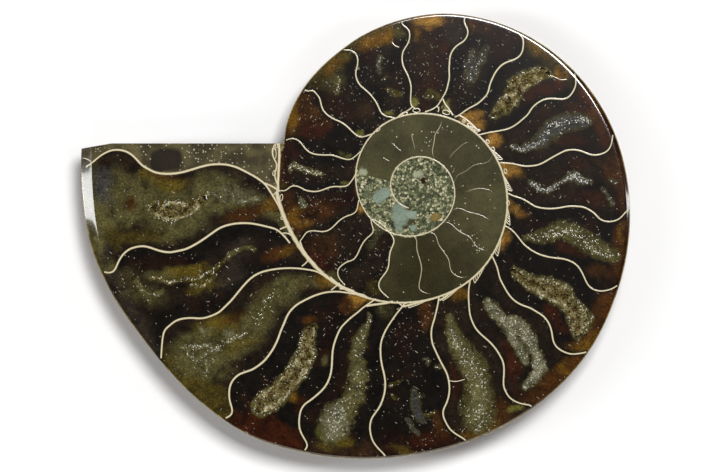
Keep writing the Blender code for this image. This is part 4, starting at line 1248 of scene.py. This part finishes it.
def build_pockets(stone, depth):
    """Walls and floors of the open pockets. Gives back the loops of their mouths."""
    dice = np.random.default_rng(5)
    mouths = []
    for name in POCKETS:
        outline, spine = ragged_pocket(name, dice)
        mouth = stone.add_points(np.column_stack([outline, np.full(len(outline), FACE_HEIGHT)]))
        ring = mouth
        # each ring's share of the mouth's width, and its depth in mm
        for share, drop in ((0.97, 0.4), (0.84, 0.6 * depth), (0.62, depth)):
            spots = spine + (outline - spine) * share
            lower = stone.add_points(np.column_stack([
                spots, np.full(len(spots), FACE_HEIGHT - drop)]))
            stone.join_rings(ring, lower, POCKET)
            ring = lower
        flat = [stone.points[number][:2] for number in ring]
        faces = fill_plane(flat, [list(range(len(ring)))])
        stone.add_faces([tuple(ring[i] for i in face) for face in faces], POCKET)
        mouths.append(mouth)
    return mouths


def build_face(stone, lines, edge, mouths, spacing):
    """Polished face: even points between the rim, the pockets, and the lines of the walls."""
    rim = [line[0] for line in lines] + edge
    rim_spots = np.array([stone.points[number][:2] for number in rim])
    low, high = rim_spots.min(axis=0), rim_spots.max(axis=0)
    rows = np.arange(low[1], high[1], spacing * 0.866)
    row = np.arange(low[0], high[0], spacing)
    spots = np.vstack([np.column_stack([row + (i % 2) * spacing / 2, np.full(len(row), y)])
                       for i, y in enumerate(rows)])
    dice = np.random.default_rng(3)
    spots += dice.uniform(-0.12, 0.12, spots.shape) * spacing
    spots = spots[inside_outline(spots, rim_spots)]

    wall = spiral_point(np.arange(WALL_START + 1.5, WALL_END, 2.0), 1.0)
    borders = [traced(SEPTUM_LINES[number - 1][1], 0.45) for number in (1, FILLED_CHAMBERS)]
    borders = [path[face_height(path) > FACE_HEIGHT - 0.001] for path in borders]
    guides = [wall] + borders
    bounds = [rim_spots] + [np.array([stone.points[i][:2] for i in mouth]) for mouth in mouths]
    for path in guides + [np.vstack([bound, bound[:1]]) for bound in bounds]:
        band = np.column_stack([path, np.full(len(path), spacing * 0.45)])
        spots = spots[distance_to_path(spots, band) > 1.0]
    for mouth in mouths:
        outline = np.array([stone.points[i][:2] for i in mouth])
        spots = spots[~inside_outline(spots, outline)]

    inner = np.vstack([spots] + guides)
    numbers = stone.add_points(np.column_stack([inner, np.full(len(inner), FACE_HEIGHT)]))
    everything = rim + [i for mouth in mouths for i in mouth] + numbers
    local = {number: i for i, number in enumerate(everything)}
    flat = [stone.points[number][:2] for number in everything]
    faces = fill_plane(flat, [[local[i] for i in rim]],
                       [[local[i] for i in mouth] for mouth in mouths])
    centres = np.array([np.mean([flat[i] for i in face], axis=0) for face in faces])
    for face, is_mud in zip(faces, in_mudstone(centres)):
        stone.add_faces([tuple(everything[i] for i in face)], MUDSTONE if is_mud else CALCITE)


def mineral(name):
    """Linear colour of a mineral, as an array."""
    return np.array(linear(MINERALS[name]))


def blend(tone, name, weight):
    """Mix a mineral into the tones, with a weight from 0 to 1 at each place."""
    weight = weight[:, None]
    return tone * (1 - weight) + mineral(name) * weight


def seam_strengths(spots, fine):
    """Mineral, share of bright crystals and strength at each place, of every seam and pocket."""
    for name, bright_share, marks in SEAMS:
        path = traced(marks, 0.5)
        path[:, 2] *= SEAM_WIDENING
        away = distance_to_path(spots + fine * 0.35, path)
        yield name, bright_share, np.clip(1 - away, 0.0, 1.0)
    for name in POCKETS:
        beyond = (distance_to_path(spots + fine * 0.4, pocket_line(name)) - 1) * 1.6
        yield "olive", 0.6, 0.7 * (1 - np.clip(beyond / 0.5, 0.0, 1.0))


def paint_seams(spots, fine):
    """Strength, mineral tone and share of bright crystals of the strongest seam at each place."""
    seam = np.zeros(len(spots))
    specks = np.zeros(len(spots))
    seam_tone = np.tile(mineral("sage"), (len(spots), 1))
    for name, bright_share, strength in seam_strengths(spots, fine):
        stronger = strength > seam
        seam_tone = np.where(stronger[:, None], mineral(name), seam_tone)
        specks = np.where(stronger, bright_share, specks)
        seam = np.maximum(seam, strength)
    return seam, seam_tone, specks


def paint_face(spots):
    """Broad tones of the polished face: the fill of each chamber, its glows and its seams."""
    waver = np.column_stack([wavering(spots, 5.0, 1.3), wavering(spots, 5.0, 7.7)])
    fine = np.column_stack([wavering(spots, 1.6, 3.1), wavering(spots, 1.6, 9.2)])
    bent = spots + waver * 0.9 + fine * 0.5
    angle, out, radius = spiral_place(spots)
    number, share, degrees = chamber_place(angle, out)
    width = np.maximum(np.radians(degrees) * radius, 1e-6)
    gap = np.minimum(share, 1 - share) * width

    fill = np.array([[mineral(name) for name in names] for names in FILLS])
    middle, beside, rim = (fill[np.minimum(number, len(FILLS) - 1), i] for i in range(3))
    loose = waver[:, 0] * 0.5 + fine[:, 0] * 0.25
    towards_middle = smooth_step((gap / (0.5 * width) - 0.3 + 0.35 * loose) / 0.45)[:, None]
    tone = beside * (1 - towards_middle) + middle * towards_middle
    blotch = 0.5 * smooth_step((waver[:, 1] - 0.1) / 0.35) * smooth_step((gap - 0.8) / 1.5)
    tone = blend(tone, "rust", blotch)
    to_rim = wall_radius(angle) - radius
    towards_rim = (0.9 * smooth_step((4.2 + 1.8 * loose - to_rim) / 2.4))[:, None]
    tone = tone * (1 - towards_rim) + rim * towards_rim

    glow_edge = 1 + 0.35 * loose
    for x, y, along, across, turn, name, strength in GLOWS:
        middle_spot = SPIRAL_MIDDLE + np.array((x, y))
        ahead, aside = turned_place(bent, middle_spot, turn)
        size = np.hypot(ahead / along, aside / across) * glow_edge
        home = spiral_place(middle_spot[None])
        same = number == chamber_place(home[0], home[1])[0][0]
        tone = blend(tone, name, strength * (1 - smooth_step((size - 0.4) / 0.75)) * same)

    dark_edge = 0.85 * (1 - smooth_step((gap - 0.3 + 0.3 * loose) / 1.0)) * (number > 3)
    at_foot = smooth_step((0.2 - out) / 0.1)
    tone = blend(tone, "ink", dark_edge * (1 - at_foot))
    shell = smooth_step((0.32 - to_rim) / 0.14) * (angle < WALL_START)
    tone = blend(tone, "shell", shell)

    seam, seam_tone, specks = paint_seams(spots, fine)
    flecks = 0.04 + 0.1 * smooth_step((angle - 380) / 60) + 0.1 * waver[:, 1]
    flecks += 0.1 * bump(angle, 268, 16)
    return tone, seam, seam_tone, specks, np.clip(flecks, 0.02, 0.4)


def paint_mudstone(spots):
    """Tones of the mudstone whorl, the granular matrix and the brown matrix at the saw cut."""
    waver = wavering(spots, 6.0, 4.4)
    angle, out, _ = spiral_place(spots)
    first = chamber_place(angle, out)[0] < 1
    light = smooth_step(0.5 + 0.9 * waver)
    tone = blend(np.tile(mineral("mud"), (len(spots), 1)), "mud_light", light)
    tone = blend(tone, "mud_low", 0.9 * bump(angle % 360, 275, 62) * (angle < CORE_START))
    brown = smooth_step(0.5 + 0.9 * wavering(spots, 3.0, 2.2))
    matrix = blend(np.tile(mineral("plum"), (len(spots), 1)), "matrix", 0.25 + 0.7 * brown)
    tone = np.where(first[:, None], matrix, tone)

    grains = np.where(first, 0.24 + 0.2 * waver, 0.02)
    for at, way_out, reach in GRAIN_CLUSTERS:
        spot = spiral_point(np.array([float(at)]), way_out)[0]
        gap = np.linalg.norm(spots - spot, axis=1) / reach
        grains = np.maximum(grains, 0.6 * (1 - smooth_step(gap)))
    pebbles = smooth_step((angle - CORE_START + 6 * waver) / 8.0)

    for x, y, along, across, turn, name in PALE_BLOCKS:
        ahead, aside = turned_place(spots, SPIRAL_MIDDLE + np.array((x, y)), turn)
        inside = ((np.abs(ahead) / along) ** 3 + (np.abs(aside) / across) ** 3) ** (1 / 3)
        block = 1 - smooth_step((inside + 0.2 * waver - 0.85) / 0.3)
        pebbles = pebbles * (1 - block)
        grains = grains * (1 - block)
        tone = blend(tone, name, block)
    return tone, np.clip(grains, 0.0, 1.0), pebbles


class FOSSIL_OT_stone(bpy.types.Operator):
    """Model the stone half with its polished face, flank, sawn end and open pockets"""
    bl_idname = "fossil.stone"
    bl_label = "Stone half"

    def execute(self, context):
        sizes = context.scene.fossil_sizes
        stone = StoneMesh()
        lines = build_back(stone, sizes.columns)
        edge = build_saw_cut(stone, lines)
        mouths = build_pockets(stone, sizes.pocket_depth / MM)
        build_face(stone, lines, edge, mouths, sizes.face_spacing / MM)

        points = np.array(stone.points)
        materials = [polished_calcite(), polished_mudstone(), shell_back(), sawn_matrix(),
                     druse_bed()]
        flat = points[:, :2].copy()
        points[:, :2] = worn(flat)
        piece = new_piece("polished_stone", points, stone.faces, materials, stone.kinds)

        tone, seam, seam_tone, specks, flecks = paint_face(flat)
        mud_tone, grains, pebbles = paint_mudstone(flat)
        tone = np.where(in_mudstone(flat)[:, None], mud_tone, tone)
        suture = np.zeros(len(points))
        for i, line in enumerate(lines):
            suture[line] = i / (len(lines) - 1) * SUTURES_AROUND
        opaque = np.ones((len(points), 1))
        for name, colours in (("tone", tone), ("seam_tone", seam_tone)):
            point_values(piece.data, name, np.hstack([colours, opaque]), "FLOAT_COLOR")
        for name, values in (("seam", seam), ("specks", specks), ("flecks", flecks),
                             ("grains", grains), ("pebbles", pebbles), ("suture", suture)):
            point_values(piece.data, name, values)

        smooth_outwards(piece, 40)
        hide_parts("fossil_half")
        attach(piece, "root")
        return {"FINISHED"}


def ribbon(path, widths, top=0.0):
    """Flat band along a path, set into the face: its points, faces and edge values.

    Each section has a shoulder at both sides, a crown in the middle and two points below.
    """
    path = np.asarray(path)
    kept = rim_gap(path) > BAND_RIM_GAP
    path = path[kept]
    side = path_directions(path)[1]
    half = np.asarray(widths)[kept, None] * 0.5
    sections = []
    for offset, height in ((-1, -BAND_DEPTH), (-1, BAND_SHOULDER), (0, BAND_CROWN),
                           (1, BAND_SHOULDER), (1, -BAND_DEPTH)):
        spots = path + side * half * offset
        sections.append(np.column_stack([spots, face_height(spots) + top + height]))
    points = np.stack(sections, axis=1).reshape(-1, 3)
    faces = []
    for i in range(len(path) - 1):
        for j in range(5):
            k = (j + 1) % 5
            faces.append((i * 5 + j, i * 5 + k, i * 5 + 5 + k, i * 5 + 5 + j))
    last = (len(path) - 1) * 5
    faces.append((4, 3, 2, 1, 0))
    faces.append(tuple(last + j for j in range(5)))
    edges = np.tile([1.0, 0.75, 0.0, 0.75, 1.0], len(path))
    return points, faces, edges


class BandMesh:
    """Bands of shell wall gathered into one mesh."""

    def __init__(self):
        self.points, self.faces, self.edges, self.pales = [], [], [], []
        self.count = 0

    def add(self, path, widths, pale=1.0, top=0.0):
        """Add one band."""
        path = np.asarray(path)
        widths = np.broadcast_to(widths, len(path))
        points, faces, edges = ribbon(path, widths, top)
        self.points.append(points)
        self.faces += [tuple(i + self.count for i in face) for face in faces]
        self.edges.append(edges)
        self.pales.append(np.full(len(points), pale))
        self.count += len(points)

    def finish(self, name, material):
        """Make the piece."""
        points = np.vstack(self.points)
        points[:, :2] = worn(points[:, :2])
        piece = new_piece(name, points, self.faces, [material])
        point_values(piece.data, "edge", np.concatenate(self.edges))
        point_values(piece.data, "pale", np.concatenate(self.pales))
        smooth_outwards(piece, 30)
        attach(piece, "root")


class FOSSIL_OT_chamber_walls(bpy.types.Operator):
    """Lay the S-shaped chamber walls into the polished face"""
    bl_idname = "fossil.chamber_walls"
    bl_label = "Chamber walls"

    def execute(self, context):
        scale = context.scene.fossil_sizes.septum_scale
        bands = BandMesh()
        dice = np.random.default_rng(8)
        for number, (width, marks) in enumerate(SEPTUM_LINES, 1):
            path = traced(marks)
            share = np.linspace(0, 1, len(path))
            widths = width * scale * (0.8 + 0.2 * np.sin(np.pi * share))
            widths *= 1 + 0.04 * np.cumsum(dice.normal(0, 0.25, len(share))) / 3
            pale = 1.0
            if number > FILLED_CHAMBERS:
                widths *= smooth_step(share / 0.12) * smooth_step((1 - share) / 0.12)
                widths = np.maximum(widths, 0.05)
                pale = 0.55 if number < 26 or number == 31 else 0.22
            bands.add(path, widths, pale=pale)
        bands.finish("chamber_walls", shell_wall())
        return {"FINISHED"}


class FOSSIL_OT_whorl_wall(bpy.types.Operator):
    """Lay the wall between the whorls into the face, with the strands and cells beside it"""
    bl_idname = "fossil.whorl_wall"
    bl_label = "Whorl wall"

    def execute(self, context):
        width = context.scene.fossil_sizes.wall_width / MM
        bands = BandMesh()
        angles = np.arange(WALL_START + 0.6, WALL_END + 40.0, 1.0)
        thicker = 0.5 * smooth_step((615 - angles) / 50)
        thinner = 0.16 * smooth_step((angles - 700) / 250)
        thick = USUAL_WALL_WIDTH + thicker - thinner
        widths = width * thick / USUAL_WALL_WIDTH * (1 + 0.1 * np.sin(angles * 1.7))
        bands.add(spiral_point(angles, 1.0), widths, pale=0.92, top=0.002)
        for number in TOOTHED_WALLS:
            self.tooth_row(bands, WALL_TABLES[number - 1][1][0])
        for strand_width, marks in STRANDS:
            bands.add(traced(marks, 0.25), strand_width, pale=0.97, top=0.001)
        for x, y, along, across, turn in CELLS:
            self.cell(bands, SPIRAL_MIDDLE + np.array((x, y)), along, across, math.radians(turn))
        bands.finish("whorl_wall", shell_wall())
        return {"FINISHED"}

    def tooth_row(self, bands, foot):
        """Slanting teeth that rise from the wall beyond a chamber wall's foot."""
        steps = np.linspace(0, 1, TOOTH_POINTS)
        angles = foot + 1.5 + TOOTH_STRIP * steps
        inner = wall_radius(angles + 360)
        height = TOOTH_HEIGHT * (1 - steps) ** 0.9
        crest = SPIRAL_MIDDLE + heading(angles) * (inner + height)[:, None]
        base = SPIRAL_MIDDLE + heading(angles) * inner[:, None]
        bands.add(crest, 0.2, pale=0.9, top=0.001)
        for i in range(0, TOOTH_POINTS - 2, 2):
            tooth = np.array([base[i + 2], (base[i + 1] + crest[i]) / 2, crest[i]])
            bands.add(smooth_path(tooth, 3), 0.18, pale=0.85, top=0.001)

    def cell(self, bands, middle, along, across, turn):
        """Small oval cell on the wall, ringed with shell."""
        around = np.linspace(0, math.tau, 17)
        ahead = np.array((math.cos(turn), math.sin(turn)))
        side = np.array((-ahead[1], ahead[0]))
        lengthwise = np.outer(np.cos(around), ahead) * along
        crosswise = np.outer(np.sin(around), side) * across
        bands.add(middle + lengthwise + crosswise, 0.18, pale=0.95, top=0.001)


class FOSSIL_OT_pocket_crystals(bpy.types.Operator):
    """Grow the crystal crust in each open pocket"""
    bl_idname = "fossil.pocket_crystals"
    bl_label = "Pocket crystals"

    def execute(self, context):
        sizes = context.scene.fossil_sizes
        material = druse_crystal()
        dice = random.Random(21)
        for name in POCKETS:
            self.crust(name, sizes.crystal_size / MM, material, dice)
        return {"FINISHED"}

    def crust(self, name, size, material, dice):
        """Many small calcite crystals on the walls and floor of one pocket, joined."""
        line = pocket_line(name, 8)
        builder = bmesh.new()
        tints_and_depth_shade = []
        for i in range(len(line) - 1):
            middle, half = line[i, :2], line[i, 2]
            ahead = line[i + 1, :2] - middle
            step = float(np.linalg.norm(ahead))
            ahead = ahead / step
            side = np.array((-ahead[1], ahead[0]))
            count = max(int(step * half * 2 * CRYSTALS_PER_SQUARE_MM), 4)
            for _ in range(count):
                across = dice.uniform(-1, 1)
                spot = middle + ahead * dice.uniform(0, step) + side * half * across * 0.96
                bowl = 1 - across ** 2
                lump = noise.noise(Vector((spot[0] / 1.3, spot[1] / 1.3, 4.0)))
                height = FACE_HEIGHT - 0.3 - bowl * (0.7 - 0.6 * lump) - dice.uniform(0, 0.35)
                self.crystal(builder, Vector((*spot, height)), size * dice.uniform(0.45, 1.3), dice)
                # Painted shade: the tint falls towards the pocket's deep middle line (bowl); the
                # random part and the lumps vary it as a stain.
                level = 0.42 + 0.45 * dice.random() ** 2 - 0.3 * bowl + 0.5 * lump
                tints_and_depth_shade.append(min(max(level, 0), 1))
        mesh = bpy.data.meshes.new("pocket_crystals_" + name)
        builder.to_mesh(mesh)
        builder.free()
        mesh.transform(Matrix.Scale(MM, 4))
        mesh.materials.append(material)
        per_crystal = len(mesh.vertices) // len(tints_and_depth_shade)
        point_values(mesh, "tint_and_depth_shade", np.repeat(tints_and_depth_shade, per_crystal))
        piece = bpy.data.objects.new(mesh.name, mesh)
        bpy.context.scene.collection.objects.link(piece)
        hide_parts("crystal_crust_" + name)
        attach(piece, "root")

    def crystal(self, builder, spot, size, dice):
        """One blunt five-sided crystal standing out of the crust."""
        lean = Euler((dice.uniform(-0.9, 0.9), dice.uniform(-0.9, 0.9), dice.uniform(0, 6.3)))
        place = Matrix.Translation(spot) @ lean.to_matrix().to_4x4()
        bmesh.ops.create_cone(builder, cap_ends=True, cap_tris=False, segments=5,
                              radius1=size * 0.5, radius2=size * 0.16, depth=size * 0.8,
                              matrix=place)


class FOSSIL_OT_stage(bpy.types.Operator):
    """Set the plain floor, the soft lights and the camera"""
    bl_idname = "fossil.stage"
    bl_label = "Stage"

    def execute(self, context):
        colours = context.scene.fossil_colours
        bpy.ops.object.select_all(action="DESELECT")
        bpy.ops.mesh.primitive_plane_add(size=FLOOR_SIZE, location=(0, 0, -FLOOR_GAP))
        floor = context.active_object
        floor.name = "floor"
        bpy.ops.object.transform_apply(location=True, rotation=True, scale=True)
        material, _, shader, _ = new_material("matt_white_board", 0.9)
        shader.inputs["Base Color"].default_value = (*colours.floor, 1.0)
        floor.data.materials.append(material)

        for name, spot, size, power in LIGHTS:
            light = bpy.data.lights.new(name, "AREA")
            light.shape = "RECTANGLE"
            light.size, light.size_y = size
            light.energy = power
            lamp = bpy.data.objects.new(name, light)
            lamp.location = spot
            lamp.rotation_euler = (-Vector(spot)).to_track_quat("-Z", "Y").to_euler()
            context.scene.collection.objects.link(lamp)

        world = bpy.data.worlds.new("studio")
        world.use_nodes = True
        background = world.node_tree.nodes["Background"]
        background.inputs["Color"].default_value = (1, 1, 1, 1)
        background.inputs["Strength"].default_value = WORLD_STRENGTH
        context.scene.world = world
        context.scene.view_settings.view_transform = "Standard"

        camera_data = bpy.data.cameras.new("camera")
        frame_width = PHOTO_WIDTH * PIXEL * MM
        camera_data.sensor_width = SENSOR_WIDTH
        camera_data.lens = SENSOR_WIDTH * CAMERA_DISTANCE / frame_width
        camera_data.clip_start = 0.05
        camera = bpy.data.objects.new("camera", camera_data)
        x, y = CAMERA_PLACE
        camera.location = (x * MM, y * MM, STONE_HIGH[2] + CAMERA_DISTANCE)
        context.scene.collection.objects.link(camera)
        context.scene.camera = camera
        return {"FINISHED"}


class FOSSIL_PT_panel(bpy.types.Panel):
    """Lists the steps that build the fossil"""
    bl_label = "Ammonite fossil half"
    bl_space_type = "VIEW_3D"
    bl_region_type = "UI"
    bl_category = "Fossil"

    def draw(self, context):
        for operator in OPERATORS:
            self.layout.operator(operator.bl_idname)
        for group in (context.scene.fossil_sizes, context.scene.fossil_colours):
            for key in group.__annotations__:
                self.layout.prop(group, key)


OPERATORS = (FOSSIL_OT_stone, FOSSIL_OT_chamber_walls, FOSSIL_OT_whorl_wall,
             FOSSIL_OT_pocket_crystals, FOSSIL_OT_stage)
CLASSES = (FossilSizes, FossilColours, *OPERATORS, FOSSIL_PT_panel)


def register():
    for kind in CLASSES:
        bpy.utils.register_class(kind)
    bpy.types.Scene.fossil_sizes = PointerProperty(type=FossilSizes)
    bpy.types.Scene.fossil_colours = PointerProperty(type=FossilColours)


def unregister():
    del bpy.types.Scene.fossil_colours
    del bpy.types.Scene.fossil_sizes
    for kind in reversed(CLASSES):
        bpy.utils.unregister_class(kind)


def main():
    register()
    bpy.ops.fossil.stage()
    bpy.ops.fossil.stone()
    bpy.ops.fossil.chamber_walls()
    bpy.ops.fossil.whorl_wall()
    bpy.ops.fossil.pocket_crystals()


if __name__ == "__main__":
    main()
